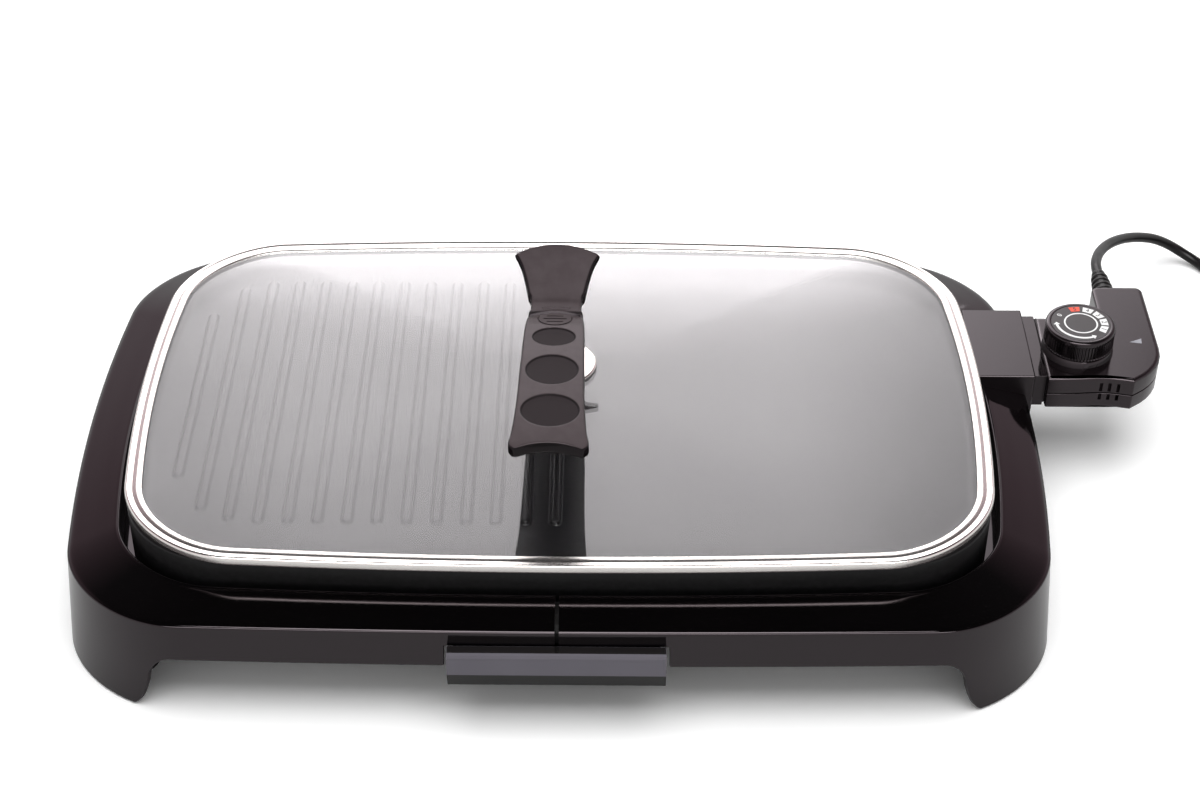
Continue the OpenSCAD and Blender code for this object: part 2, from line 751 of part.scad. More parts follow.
// The slotted cap between the grip and the flap, following the slope of the handle
module handle_cap() {
    color("#332c2b") on_handle() on_cap() difference() {
        cylinder(r = 9.8, h = 1.8);
        for (s = [-1:1])
            translate([-6.8 + 2 * abs(s), 4.6 * s - 0.6, 0.8]) cube([13.6 - 4 * abs(s), 1.2, 3]);
    }
}

// ---- controller ----

// The controller's outline: a body in front, with an arm at the back for the cord
function arc(c, r, from, to, n = 8) =
    [for (i = [0:n]) c + r * [cos(from + (to - from) * i / n), sin(from + (to - from) * i / n)]];
ctrl_left = 302;
body_back = 97.5;
ctrl_front = 33;
ctrl_outline = concat(
    [[ctrl_left, body_back], [ctrl_left, ctrl_front + 1], [ctrl_left + 1, ctrl_front]],
    arc([350, 60], 27, -90, -8),
    [[ctrl_right, 66]],
    arc([ctrl_right - 4, 125.5], 4, 0, 90, 4),
    arc([349, 126], 3.5, 90, 180, 4),
    arc([339.5, 103.5], 6, 0, -90, 5)
);

module ctrl_shape(inset = 0) {
    offset(delta = -inset) polygon(ctrl_outline);
}

module vents(z, h) {
    for (i = [0:2]) translate([342 + 4.8 * i, ctrl_front - 2, z]) cube([2, 9, h]);
}

module nose_opening() {
    translate([ctrl_left - 1, socket_y - 24, ctrl_z + 3]) cube([5, 48, ctrl_h - 6]);
}

module relief_hole() {
    translate([relief_at[0], relief_at[1] - 6, relief_at[2]]) rotate([-90, 0, 0])
        cylinder(r = 5, h = 20);
}

module controller_top() {
    color("#2a2527") placed() {
        difference() {
            union() {
                translate([0, 0, parting_z]) linear_extrude(ctrl_top - parting_z - 1.6) ctrl_shape();
                translate([0, 0, ctrl_top - 1.6]) linear_extrude(1) ctrl_shape(0.7);
                translate([0, 0, ctrl_top - 0.6]) linear_extrude(0.6) ctrl_shape(1.7);
            }
            translate([0, 0, parting_z - 1]) linear_extrude(ctrl_top - parting_z - 1.4) ctrl_shape(2.4);
            translate([knob_x, knob_y, parting_z]) cylinder(r = 3.4, h = 20);
            relief_hole();
            vents(parting_z + 1, 5);
            nose_opening();
        }
        for (p = ctrl_screws) translate([p[0], p[1], ctrl_z + 2.4]) difference() {
            cylinder(r = 3.2, h = ctrl_h - 4.6);
            translate([0, 0, -1]) cylinder(r = 1.4, h = 16);
        }
    }
}

module controller_bottom() {
    color("#2a2527") placed() difference() {
        union() {
            translate([0, 0, parting_z - 0.5]) linear_extrude(0.5) ctrl_shape(0.5);
            translate([0, 0, ctrl_z + 1]) linear_extrude(parting_z - ctrl_z - 1.5) ctrl_shape();
            translate([0, 0, ctrl_z]) linear_extrude(1) ctrl_shape(1);
        }
        translate([0, 0, ctrl_z + 2.4]) linear_extrude(20) ctrl_shape(2.4);
        relief_hole();
        vents(parting_z - 6.5, 5);
        nose_opening();
        for (p = ctrl_screws) translate([p[0], p[1], ctrl_z - 1]) {
            cylinder(r = 3, h = 2);
            cylinder(r = 1.6, h = 6);
        }
    }
}

// The nose that enters the socket block
module controller_collar() {
    high = ctrl_top - 3.4;
    color("#191618") placed() difference() {
        union() {
            translate([socket_out + 0.5, socket_y - 31.5, ctrl_z + 1])
                cube([ctrl_left - socket_out - 0.5, 63, ctrl_h - 2.4]);
            translate([278, socket_y - 28, 50]) cube([ctrl_left - 278, 56, high - 50]);
        }
        translate([280, socket_y - 24, 52]) cube([40, 48, high - 54]);
        for (s = [-1, 1])
            translate([270, socket_y + s * pin_space / 2, pin_z]) rotate([0, 90, 0])
                cylinder(r = 2.8, h = 20);
        translate([270, socket_y, pin_z]) rotate([0, 90, 0]) cylinder(r = 3, h = 40);
    }
}

module controller_screws() {
    color("silver") placed() for (p = ctrl_screws) translate([p[0], p[1], ctrl_z]) {
        cylinder(r = 2.8, h = 1);
        cylinder(r = 1.4, h = 15);
    }
}

// Spring sleeves that grip the terminal pins
module contact_sockets() {
    color("#c9a25a") placed() for (s = [-1, 1])
        translate([280, socket_y + s * pin_space / 2, pin_z]) rotate([0, 90, 0])
            difference() {
                cylinder(r = 3.6, h = 27);
                translate([0, 0, -1]) cylinder(r = 2.8, h = 16);
            }
}

module probe_rod() {
    color("#d0d0d0") placed() translate([212, socket_y, pin_z]) rotate([0, 90, 0]) {
        cylinder(r = 3, h = 95);
        translate([0, 0, -2]) cylinder(r1 = 1.4, r2 = 3, h = 2);
    }
}

module thermostat() {
    color("#b9a98a") placed() {
        translate([307, socket_y - 16, ctrl_z + 2.4]) cube([34, 34, 14.6]);
        translate([knob_x, knob_y, ctrl_z + 16]) cylinder(r = 6, h = 2.5);
    }
}

module knob_seat() {
    color("#171516") placed() translate([knob_x, knob_y, ctrl_top]) difference() {
        rotate_extrude() polygon([
            [0, 0], [knob_d / 2 + 1, 0], [knob_d / 2 + 1, 1], [knob_d / 2 + 0.2, 2],
            [knob_d / 2 + 0.2, seat_h - 0.4], [knob_d / 2 - 0.4, seat_h], [0, seat_h]
        ]);
        translate([0, 0, -1]) cylinder(r = 3.4, h = 8);
    }
}

// The pointer that the dial is read against
module pointer_mark() {
    color("#8f8f96") placed() translate([352.5, 59.5, ctrl_top]) linear_extrude(0.4)
        polygon([[0, 0], [8.6, -5], [9.4, -1.2]]);
}

// A ribbed boot whose neck sits in the controller's wall
module strain_relief() {
    l = cord_route[0][1] - relief_at[1];
    rib = [for (i = [0:3]) each let (z = 13 + 5.4 * i, r = 6.9 - 0.55 * i)
        [[r, z], [r + 0.5, z + 0.8], [r + 0.3, z + 3], [r - 1.1, z + 3.5], [r - 1.2, z + 4.8]]];
    color("#2c2728") placed() translate(relief_at) rotate([-90, 0, 0])
        rotate_extrude() polygon(concat([[0, 0], [6.6, 0], [6.6, 2.9], [5, 3.1], [5, 5.4],
            [7.2, 5.8], [7.3, 12]], rib, [[4.4, l - 0.6], [4, l], [0, l]]));
}

module power_cord() {
    color("#2b2728") placed() swept(cord_route, cord_r, 10);
}

// The wound part of the cord: two layers of two turns
coil_mid = coil_r - cord_r - 0.1;

module cord_coil() {
    color("#2b2728") placed() translate([coil_at[0], coil_at[1], coil_z]) rotate_extrude($fn = 72)
        polygon([
            [coil_mid - coil_half, 2], [coil_mid - coil_half + 2, 0], [coil_mid + coil_half - 2, 0],
            [coil_mid + coil_half, 2], [coil_mid + coil_half, 12.4],
            [coil_mid + coil_half - 2, 14.4], [coil_mid - coil_half + 2, 14.4],
            [coil_mid - coil_half, 12.4]
        ]);
}

module coil_tie() {
    inside = 2 * coil_half;
    color("#101010") placed() translate([coil_at[0] + coil_mid, coil_at[1], coil_z + 7.2])
        difference() {
            cube([inside + 2.6, 6, 16.4], center = true);
            cube([inside + 0.4, 8, 14.4], center = true);
        }
}

module plug_lead() {
    color("#2b2728") placed() swept(lead_route, cord_r, 10);
}

module plug_relief() {
    color("#232021") placed() translate([plug_at[0], plug_at[1] + 34, plug_at[2]])
        rotate([90, 0, 0]) rotate_extrude() polygon([
            [0, 0], [4.2, 0], [5, 5], [4.4, 6], [4.4, 8], [6, 9], [6, 13], [5.2, 14], [5.2, 16],
            [7.4, 17], [8.6, 34], [0, 34]
        ]);
}

// A round two-pin plug with earth clips in its sides
module plug_body() {
    color("#1e1b1c") placed() translate(plug_at) rotate([90, 0, 0]) difference() {
        rotate_extrude() polygon([
            [0, 0], [11, 0], [14, 2], [16.6, 8], [17.4, 16], [plug_d / 2, 19], [plug_d / 2, 34.4],
            [plug_d / 2 - 0.6, 35], [0, 35]
        ]);
        for (s = [-1, 1]) translate([-4, s * (plug_d / 2 - 2) - 2, 24]) cube([8, 4, 20]);
    }
}

module plug_pins() {
    color("silver") placed() for (s = [-1, 1])
        translate([plug_at[0] + 9.5 * s, plug_at[1] - 35, plug_at[2]]) rotate([90, 0, 0]) {
            cylinder(r = 2.4, h = 17.6);
            translate([0, 0, 17.6]) cylinder(r1 = 2.4, r2 = 1.4, h = 1.4);
        }
}

// ---- knob ----

module knob() {
    tooth = 360 / knob_ribs;
    r = knob_d / 2;
    color("#141213") placed() translate([knob_x, knob_y, knob_z]) difference() {
        union() {
            rotate_extrude() polygon([
                [0, 0], [r, 0], [r, 1.6], [r - 1.1, 1.6], [r - 1.1, knob_h - 2.6],
                [r, knob_h - 2.6], [r, knob_h - 1.1], [r - 1, knob_h], [0, knob_h]
            ]);
            translate([0, 0, 1.2]) linear_extrude(knob_h - 3.4) polygon([
                for (i = [0:knob_ribs - 1], f = [[0, 0.2], [0.44, 0.2], [0.56, 0.9], [0.88, 0.9]])
                    (r - f[1]) * [cos(tooth * (i + f[0])), sin(tooth * (i + f[0]))]
            ]);
        }
        translate([0, 0, knob_h - 0.5]) cylinder(r = 18.6, h = 2);
        translate([0, 0, -1]) cylinder(r = 3, h = 11);
    }
}

module knob_shaft() {
    color("silver") placed() translate([knob_x, knob_y, ctrl_z + 18.5 + slack])
        cylinder(r = 3, h = knob_z + 10 - (ctrl_z + 18.5 + slack));
}

module dial_plate() {
    color("#2a2627") placed() translate([knob_x, knob_y, knob_z + knob_h - 0.5])
        cylinder(r = 18.5, h = 0.5);
}

base_left();
base_right();
seam_strips();
strip_screws();
foot_pads();
heat_reflector();
tray_rails();
cooking_plate();
heating_element();
element_clips();
terminal_block();
terminal_pins();
probe_sleeve();
socket_block();
drip_tray();
tray_handle();
tray_screws();
lid_glass();
lid_rim();
handle_disc();
glass_washers();
clamp_washer();
handle_screw();
handle_post();
lid_handle();
handle_cap();
controller_top();
controller_bottom();
controller_collar();
controller_screws();
contact_sockets();
probe_rod();
thermostat();
knob_seat();
pointer_mark();
strain_relief();
power_cord();
cord_coil();
coil_tie();
plug_lead();
plug_relief();
plug_body();
plug_pins();
knob();
knob_shaft();
dial_plate();
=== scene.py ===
import bpy
import bmesh
import numpy as np
from math import atan2, cos, pi, radians, sin, tan
from mathutils import Matrix


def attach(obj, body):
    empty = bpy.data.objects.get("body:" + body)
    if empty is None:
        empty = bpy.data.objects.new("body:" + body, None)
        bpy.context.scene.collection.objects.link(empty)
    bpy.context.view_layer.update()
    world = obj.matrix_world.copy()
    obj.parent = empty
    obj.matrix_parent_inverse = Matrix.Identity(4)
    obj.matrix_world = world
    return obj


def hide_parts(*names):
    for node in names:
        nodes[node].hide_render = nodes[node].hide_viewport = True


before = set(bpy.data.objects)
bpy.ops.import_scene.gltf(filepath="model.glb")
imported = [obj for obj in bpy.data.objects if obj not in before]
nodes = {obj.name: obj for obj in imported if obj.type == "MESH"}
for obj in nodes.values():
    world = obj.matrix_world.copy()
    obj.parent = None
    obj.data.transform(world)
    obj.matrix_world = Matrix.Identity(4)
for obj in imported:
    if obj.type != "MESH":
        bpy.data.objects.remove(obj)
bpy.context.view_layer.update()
scene = bpy.context.scene
scene.view_settings.view_transform = "Standard"

# Pieces are drawn in millimetres about the middle of the base, then brought to the frame
middle = np.array([42.5345, -5.4225, 0.0])


def toFrame(points):
    return (np.asarray(points, float) - middle) / 1000


def settle(thing, **settings):
    for key, value in settings.items():
        setattr(thing, key, value)
    return thing


def addObject(name, data):
    made = bpy.data.objects.new(name, data)
    scene.collection.objects.link(made)
    return made


# The mesh that an object comes to, with its modifiers or its text worked out
def finishedMesh(thing):
    bpy.context.view_layer.update()
    return bpy.data.meshes.new_from_object(thing.evaluated_get(bpy.context.evaluated_depsgraph_get()))


# The camera, and where it stands
camera = {
    "lens": 69.57,
    "sensor": 36,
    "clip": (0.05, 40),  # nearest and farthest metres it sees
    "place": (25.40, -1107.46, 962.44),
    "pitch": 38.441,  # degrees down
    "yaw": -0.1285,
    "roll": 0.3348,
}


def addCamera():
    pitch, yaw, roll = (radians(camera[k]) for k in ("pitch", "yaw", "roll"))
    near, far = camera["clip"]
    data = settle(bpy.data.cameras.new("camera"), lens=camera["lens"], sensor_width=camera["sensor"],
                  clip_start=near, clip_end=far)
    scene.camera = addObject("camera", data)
    turn = Matrix.Rotation(-yaw, 4, "Z") @ Matrix.Rotation(pi / 2 - pitch, 4, "X")
    turn = turn @ Matrix.Rotation(roll, 4, "Z")
    scene.camera.matrix_world = Matrix.Translation(toFrame(camera["place"]).tolist()) @ turn


addCamera()
print("camera placed")


# A smooth line through points: between two of them it is a cubic aimed along their neighbours
def smoothLine(points, steps):
    p = np.asarray(points, float)
    p = np.vstack([2 * p[0] - p[1], p, 2 * p[-1] - p[-2]])
    t = (np.arange(steps) / steps)[None, :, None]
    a, b, c, d = p[:-3, None], p[1:-2, None], p[2:-1, None], p[3:, None]
    line = 2 * b + (c - a) * t + (2 * a - 5 * b + 4 * c - d) * t**2 + (3 * b - a - 3 * c + d) * t**3
    return np.vstack([0.5 * line.reshape(-1, p.shape[1]), p[-2]])


def easeStep(low, high, x):
    t = np.clip((np.asarray(x, float) - low) / (high - low), 0, 1)
    return t * t * (3 - 2 * t)


# Rows of points as faces: a row closes on itself unless told not to, the last row may join up with the
# first, and open ends may be capped
def gridShell(rings, joinRows=False, joinColumns=True, capRows=False, capColumns=False):
    grid = np.asarray(rings)
    rows, columns = grid.shape[:2]
    last = rows - (not joinRows), columns - (not joinColumns)
    i, j = np.meshgrid(np.arange(last[0]), np.arange(last[1]), indexing="ij")
    after, beside = (i + 1) % rows, (j + 1) % columns
    corners = [i * columns + j, after * columns + j, after * columns + beside, i * columns + beside]
    faces = np.stack(corners, -1).reshape(-1, 4).tolist()
    places = np.arange(rows * columns).reshape(rows, columns)
    if capRows:
        faces += places[[0, -1]].tolist()
    if capColumns:
        faces += places.T[[0, -1]].tolist()
    return grid.reshape(-1, 3), faces


mergeGap = 2e-6  # metres; points nearer than this become one


# Joins shells into one mesh; equal points are merged and faces turned outwards
def makePiece(name, shells, body, slot, sharp=32, finish=None):
    points, faces, count = [], [], 0
    for where, joined in shells:
        points.append(toFrame(where))
        faces += [[k + count for k in face] for face in joined]
        count += len(where)
    mesh = bpy.data.meshes.new(name)
    mesh.from_pydata(np.vstack(points).tolist(), [], faces)
    work = bmesh.new()
    work.from_mesh(mesh)
    bmesh.ops.remove_doubles(work, verts=work.verts, dist=mergeGap)
    bmesh.ops.recalc_face_normals(work, faces=work.faces)
    work.to_mesh(mesh)
    work.free()
    mesh.shade_smooth()
    mesh.set_sharp_from_angle(angle=radians(sharp))
    mesh.materials.append(finish or finishes[slot])
    piece = addObject(name, mesh)
    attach(piece, body)
    return piece


# A profile of (radius, height) turned about an upright axis at a point
def turned(profile, at=(0, 0, 0), sides=72):
    profile = np.asarray(profile, float)
    angle = np.arange(sides) * 2 * pi / sides
    radius, height = profile[:, :1], profile[:, 1:]
    return np.stack([radius * np.cos(angle), radius * np.sin(angle), height + 0 * angle], -1) + np.array(at)


# A block between two corners
def block(low, high):
    (a, b, c), (d, e, f) = low, high
    ring = np.array([[a, b], [d, b], [d, e], [a, e]], float)
    return gridShell([atHeight(ring, z) for z in (c, f)], capRows=True)


# Circles set square to a path, each turned as little as it can be from the last
def tube(path, radius, sides=16):
    path = np.asarray(path, float)
    along = np.gradient(path, axis=0)
    along /= np.linalg.norm(along, axis=1)[:, None]
    across = np.stack([along[:, 1], -along[:, 0], 0 * along[:, 0]], 1)
    across /= np.linalg.norm(across, axis=1)[:, None]
    over = np.cross(across, along)
    angle = (np.arange(sides) * 2 * pi / sides)[None, :, None]
    return path[:, None] + radius * (np.cos(angle) * across[:, None] + np.sin(angle) * over[:, None])


# Pushes a rectangle's points outwards, most in the middle of each side
def bow(p, hx, hy, bx, by):
    x, y = p[..., 0], p[..., 1]
    return np.stack([x + bx * x / hx * (1 - (y / hy) ** 2), y + by * y / hy * (1 - (x / hx) ** 2)], -1)


# Points round a centre at angles in degrees
def onCircle(radius, degrees, centre=(0, 0)):
    a = np.radians(degrees)
    return np.column_stack([radius * np.cos(a), radius * np.sin(a)]) + np.array(centre)


# The rounded outline with bowed sides that a dictionary gives, moved inwards: a quarter circle, then a
# straight run, four times
def outline(look, inset):
    steps, bx, by = look["steps"], look["sideBow"], look["frontBow"]
    hx, hy = (look["width"] - 2 * inset) / 2 - bx, (look["depth"] - 2 * inset) / 2 - by
    corner = look["corner"] - inset
    cx, cy = hx - corner, hy - corner
    centres = np.array([[cx, cy], [-cx, cy], [-cx, -cy], [cx, -cy]])
    points = []
    for q in range(4):
        bend = onCircle(corner, (q + np.arange(steps + 1) / steps) * 90, centres[q])
        share = (np.arange(1, steps) / steps)[:, None]
        points += [bend, bend[-1] + (centres[(q + 1) % 4] - centres[q]) * share]
    return bow(np.vstack(points), hx, hy, bx, by)


def atHeight(points, z):
    return np.column_stack([points, np.full(len(points), float(z))])


# Materials are written as sums on node sockets: each sign adds its Math node
def sign(operation, swapped=False):
    def join(one, two):
        return one.calc(operation, two, one) if swapped else one.calc(operation, one, two)
    return join


class Wire:  # an output that sums can be written with
    __add__, __radd__ = sign("ADD"), sign("ADD", True)
    __sub__, __rsub__ = sign("SUBTRACT"), sign("SUBTRACT", True)
    __mul__, __rmul__ = sign("MULTIPLY"), sign("MULTIPLY", True)
    __truediv__, __rtruediv__ = sign("DIVIDE"), sign("DIVIDE", True)
    __pow__, __rpow__ = sign("POWER"), sign("POWER", True)

    def __init__(self, sheet, socket):
        self.sheet, self.socket = sheet, socket

    def calc(self, operation, *values):
        return self.sheet.add("Math", {"operation": operation}, dict(enumerate(values)))


class NodeSheet:
    def __init__(self, owner):
        owner.use_nodes = True
        self.owner, self.tree = owner, owner.node_tree
        self.tree.nodes.clear()

    def add(self, kind, settings=None, values=None, output=0):
        made = self.tree.nodes.new("ShaderNode" + kind)
        for key, value in (settings or {}).items():
            if key == "stops":
                ramp = made.color_ramp
                while len(ramp.elements) < len(value):
                    ramp.elements.new(0.5)
                for element, (place, tint) in zip(ramp.elements, value):
                    element.position, element.color = place, tint
            else:
                setattr(made, key, value)
        for key, value in (values or {}).items():
            if isinstance(value, Wire):
                self.tree.links.new(value.socket, made.inputs[key])
            else:
                made.inputs[key].default_value = value
        return Wire(self, made.outputs[output]) if made.outputs else None

    def coordinates(self):
        return self.add("TexCoord", output="Object")

    def facing(self):
        return self.add("NewGeometry", output="Normal")

    def part(self, vector, axis):
        return self.add("SeparateXYZ", {}, {"Vector": vector}, axis)

    # 1 for the kinds of ray that are named and 0 for the rest
    def rays(self, *kinds):
        seen = [self.add("LightPath", output=kind) for kind in kinds]
        return sum(seen[1:], seen[0])

    # Noise whose lumps are about so many millimetres across
    def noise(self, size, detail=2.0, stretch=None):
        place = self.coordinates()
        if stretch:
            place = self.add("Mapping", {}, {"Vector": place, "Scale": stretch})
        return self.add("TexNoise", {}, {"Vector": place, "Scale": 1000 / size, "Detail": detail})

    def ramp(self, value, stops):
        return self.add("ValToRGB", {"stops": stops}, {"Fac": value})

    def between(self, value, low, high):
        settings = {"interpolation_type": "SMOOTHSTEP"}
        values = {"Value": value, "From Min": low, "From Max": high, "To Min": 0.0, "To Max": 1.0}
        return self.add("MapRange", settings, values)

    def mix(self, factor, first, second):
        return self.add("Mix", {"data_type": "RGBA"}, {0: factor, 6: first, 7: second}, 2)

    # Lumps that stand up by a depth in millimetres, on top of those under them
    def bump(self, height, depth, under=None):
        values = {"Height": height, "Distance": depth / 1000}
        if under:
            values["Normal"] = under
        return self.add("Bump", {}, values, "Normal")

    # Gives back the finish, made of this one shader
    def surface(self, values, kind="BsdfPrincipled"):
        self.add("OutputMaterial", {}, {"Surface": self.add(kind, {}, values)})
        return self.owner


def newSheet(name):
    return NodeSheet(bpy.data.materials.new(name))


# A colour; one number alone is a grey
def shade(red, green=None, blue=None):
    return (red, red, red, 1.0) if green is None else (red, green, blue, 1.0)


def scaled(colour, amount):
    return shade(*(min(1, part * amount) for part in colour))


warmGloss = shade(1.0, 0.86, 0.92)  # the tint of what the black plastics reflect


# Moulded plastic, rubber or ceramic: clouded colour, a fine grain, and a polish that varies a little
def mouldedFinish(name, colour, roughness, grain, depth, cloud=0.12, **extra):
    sheet = newSheet(name)
    patches, wear = sheet.noise(34, 3), sheet.noise(5.5, 4)
    clouds = sheet.between(patches * 0.7 + wear * 0.3, 0.38, 0.62)
    return sheet.surface({
        "Base Color": sheet.mix(clouds, scaled(colour, 1 - cloud), scaled(colour, 1 + cloud)),
        "Roughness": roughness + (patches + wear - 1) * 0.05,
        "Normal": sheet.bump(sheet.noise(grain, 3), depth),
        **extra,
    })


# Bare metal: hair lines along one direction, faint stains, and a polish that varies
def metalFinish(name, colour, roughness, hair=1, stain=0.1):
    sheet = newSheet(name)
    lines, patches = sheet.noise(2.2, 3, stretch=(hair, 1, 1)), sheet.noise(16, 4)
    stains = sheet.between(patches, 0.35, 0.65)
    return sheet.surface({
        "Base Color": sheet.mix(stains, scaled(colour, 1 - stain), shade(*colour)),
        "Metallic": 1.0,
        "Roughness": roughness + (lines + patches - 1) * 0.12,
        "Normal": sheet.bump(lines, 0.004),
    })


# Glossy black shell: a faint ripple from moulding, fine dust and hair scratches in the polish
def glossBlackFinish():
    sheet = newSheet("glossBlackShell")
    dust = sheet.between(sheet.noise(1.1, 2), 0.66, 0.74)
    scratches = sheet.between(sheet.noise(0.9, 2, stretch=(0.06, 1, 1)), 0.68, 0.76)
    patches = sheet.noise(60, 2)
    # the side of the crest that faces the plate is left dull
    place, facing = sheet.coordinates(), sheet.facing()
    across, lengthways = (sheet.part(place, axis) * sheet.part(facing, axis) for axis in "XY")
    inner = 1 - sheet.between(across + lengthways, -0.06, -0.02)
    tint = sheet.mix(patches, shade(0.0012, 0.0010, 0.0011), shade(0.0020, 0.0016, 0.0018))
    return sheet.surface({
        "Base Color": sheet.mix(dust * 0.08, tint, shade(0.05, 0.045, 0.045)),
        "Roughness": 0.045 + patches * 0.025 + scratches * 0.07 + dust * 0.05 + inner * 0.5,
        "IOR": 1.5,
        "Specular Tint": warmGloss,
        "Normal": sheet.bump(sheet.noise(9, 2), 0.012),
    })


# Tray grip: painted reflection by facing: its sloping faces are painted grey, and the ones that look straight
# up or down are painted dark
def trayGripFinish():
    sheet = newSheet("trayGrip")
    rise = sheet.part(sheet.facing(), "Z")
    patches = sheet.noise(30, 3)
    # painted sheen: the grey that the sloping faces get in place of reflected light
    paintedSheen = sheet.mix(patches, shade(0.100, 0.094, 0.110), shade(0.112, 0.105, 0.124))
    paintedSheenFaces = sheet.between(rise, -0.12, -0.02) * (1 - sheet.between(rise, 0.96, 0.99))
    return sheet.surface({
        # faces looking straight up or down are painted dark, and the sloping ones get the painted sheen
        "Base Color": sheet.mix(paintedSheenFaces, shade(0.004, 0.0035, 0.0035), paintedSheen),
        "Roughness": 0.2 + (patches - 0.5) * 0.08,
        "Specular IOR Level": 0.18,
        "Normal": sheet.bump(sheet.noise(9, 2), 0.01),
    })


# Non-stick plate: sprayed coat with a fine speckle over cast metal
def plateFinish():
    sheet = newSheet("plateCoating")
    speck, patches = sheet.noise(3.2, 2), sheet.noise(70, 3)
    tint = sheet.mix(sheet.between(speck, 0.42, 0.66), shade(0.0035, 0.0033, 0.0036),
                     shade(0.0060, 0.0056, 0.0062))
    return sheet.surface({
        "Base Color": sheet.mix(patches * 0.35, tint, shade(0.0045, 0.0042, 0.0046)),
        "Roughness": 0.32 + (patches + speck - 1) * 0.08,
        "Specular IOR Level": 0.22,
        "Coat Weight": 0.03,
        "Coat Roughness": 0.3,
        "Normal": sheet.bump(speck, 0.008, under=sheet.bump(sheet.noise(11, 2), 0.012)),
    })


# Clear lid glass: faint smears in the polish
def glassFinish():
    sheet = newSheet("lidGlass")
    smears = sheet.noise(46, 3, stretch=(1, 0.4, 1))
    return sheet.surface({
        "Base Color": sheet.mix(smears, shade(0.985, 0.98, 0.985), shade(0.99)),
        "Roughness": 0.0,
        "Transmission Weight": 1.0,
        "IOR": 1.52,
    })


# Rolled steel rim: bright, with fine hair lines round the band
def rimFinish():
    sheet = newSheet("rimSteel")
    hair, patches = sheet.noise(0.8, 3, stretch=(1, 1, 6)), sheet.noise(28, 3)
    return sheet.surface({
        "Base Color": sheet.mix(patches, shade(0.78, 0.75, 0.72), shade(0.86, 0.83, 0.80)),
        "Metallic": 1.0,
        "Roughness": 0.25 + (patches - 0.5) * 0.06 + (hair - 0.5) * 0.04,
        "Normal": sheet.bump(hair, 0.0012),
    })


# Cord sheath: dark PVC with a faint haze of handling and tiny pits
def cordFinish():
    sheet = newSheet("cordSheath")
    haze = sheet.noise(14, 3)
    return sheet.surface({
        "Base Color": sheet.mix(haze, shade(0.003, 0.0025, 0.0026), shade(0.0065, 0.0053, 0.0056)),
        "Roughness": 0.36 + (haze - 0.5) * 0.14,
        "Specular IOR Level": 0.28,
        "Normal": sheet.bump(sheet.noise(0.9, 3), 0.02),
    })


finishes = {
    "gloss_black": glossBlackFinish(),
    "inner_black": mouldedFinish("innerBlack", (0.003, 0.0026, 0.0028), 0.42, 0.9, 0.02,
                                 **{"Specular IOR Level": 0.25}),
    "pad_rubber": mouldedFinish("padRubber", (0.022, 0.021, 0.021), 0.75, 0.6, 0.05),
    "plate_coating": plateFinish(),
    "reflector_sheet": metalFinish("reflectorSheet", (0.66, 0.66, 0.65), 0.30, hair=14),
    "element_sheath": metalFinish("elementSheath", (0.23, 0.20, 0.18), 0.48, stain=0.35),
    "zinc_steel": metalFinish("zincSteel", (0.62, 0.62, 0.60), 0.34, stain=0.18),
    "ceramic": mouldedFinish("ceramic", (0.62, 0.57, 0.49), 0.62, 0.8, 0.04),
    "pin_steel": metalFinish("pinSteel", (0.74, 0.73, 0.71), 0.22, hair=14),
    "contact_brass": metalFinish("contactBrass", (0.72, 0.52, 0.24), 0.28, hair=14, stain=0.2),
    "lid_glass": glassFinish(),
    "rim_steel": rimFinish(),
    "silicone": mouldedFinish("silicone", (0.58, 0.58, 0.57), 0.5, 0.7, 0.02),
    "controller_plastic": mouldedFinish("controllerPlastic", (0.006, 0.0044, 0.005), 0.14, 1.6, 0.008,
                                        0.15, **{"Specular Tint": warmGloss}),
    "knob_plastic": mouldedFinish("knobPlastic", (0.004, 0.0034, 0.0036), 0.18, 1.2, 0.010,
                                  **{"Specular Tint": warmGloss}),
    "pointer_grey": mouldedFinish("pointerGrey", (0.27, 0.27, 0.30), 0.45, 0.5, 0.01),
    "cord_pvc": cordFinish(),
}
trayGrip = trayGripFinish()
dialFace = mouldedFinish("dialFace", (0.022, 0.018, 0.019), 0.36, 0.7, 0.02, 0.18)
dialWhite = mouldedFinish("dialWhite", (0.80, 0.80, 0.80), 0.45, 0.4, 0.01, 0.04)
dialRed = mouldedFinish("dialRed", (0.74, 0.075, 0.035), 0.42, 0.4, 0.01, 0.06)
dialInk = mouldedFinish("dialInk", (0.035, 0.032, 0.033), 0.5, 0.4, 0.01)
print("finishes made")


# The cord, from the boot to the plug
cord = {
    "radius": 3.5,
    "coil": (508, 250),
    "turns": (42.5, 35.5),  # radii of the outer and inner turns
    "layers": (4.6, 11.6, 18.6),  # heights of the layers at the middle of the cord
    "wound": (213.5, 1620.1, 15.625),  # first and last angle of the coil, and its step
    "steps": (513.5, 813.5, 1113.5, 1473.5),  # angles where it goes in, up, out and up again
    "stepTurn": 60,  # degrees that each of these takes
    "route": [
        (355, 162, 66), (355.4, 170, 65.4), (356.6, 178, 63.8), (359.3, 188, 61), (363.5, 200, 57),
        (370, 214, 52), (378, 227, 47), (387, 239, 41.5), (397, 250, 35.5), (407, 258.6, 29.8),
        (417, 265.4, 24), (426, 269.5, 18.3), (434, 271.2, 13), (441, 270, 9), (447.5, 266.6, 6.2),
        (453, 261.4, 4.7), (458, 254, 4.2), (462, 246.5, 4.4),
    ],
    "lead": [
        (465.5, 241, 18.6), (465.5, 229, 18.55), (465.7, 215, 18.5), (466.2, 203, 18.5),
        (466.8, 193, 18.5), (467, 184, 18.5),
    ],
}


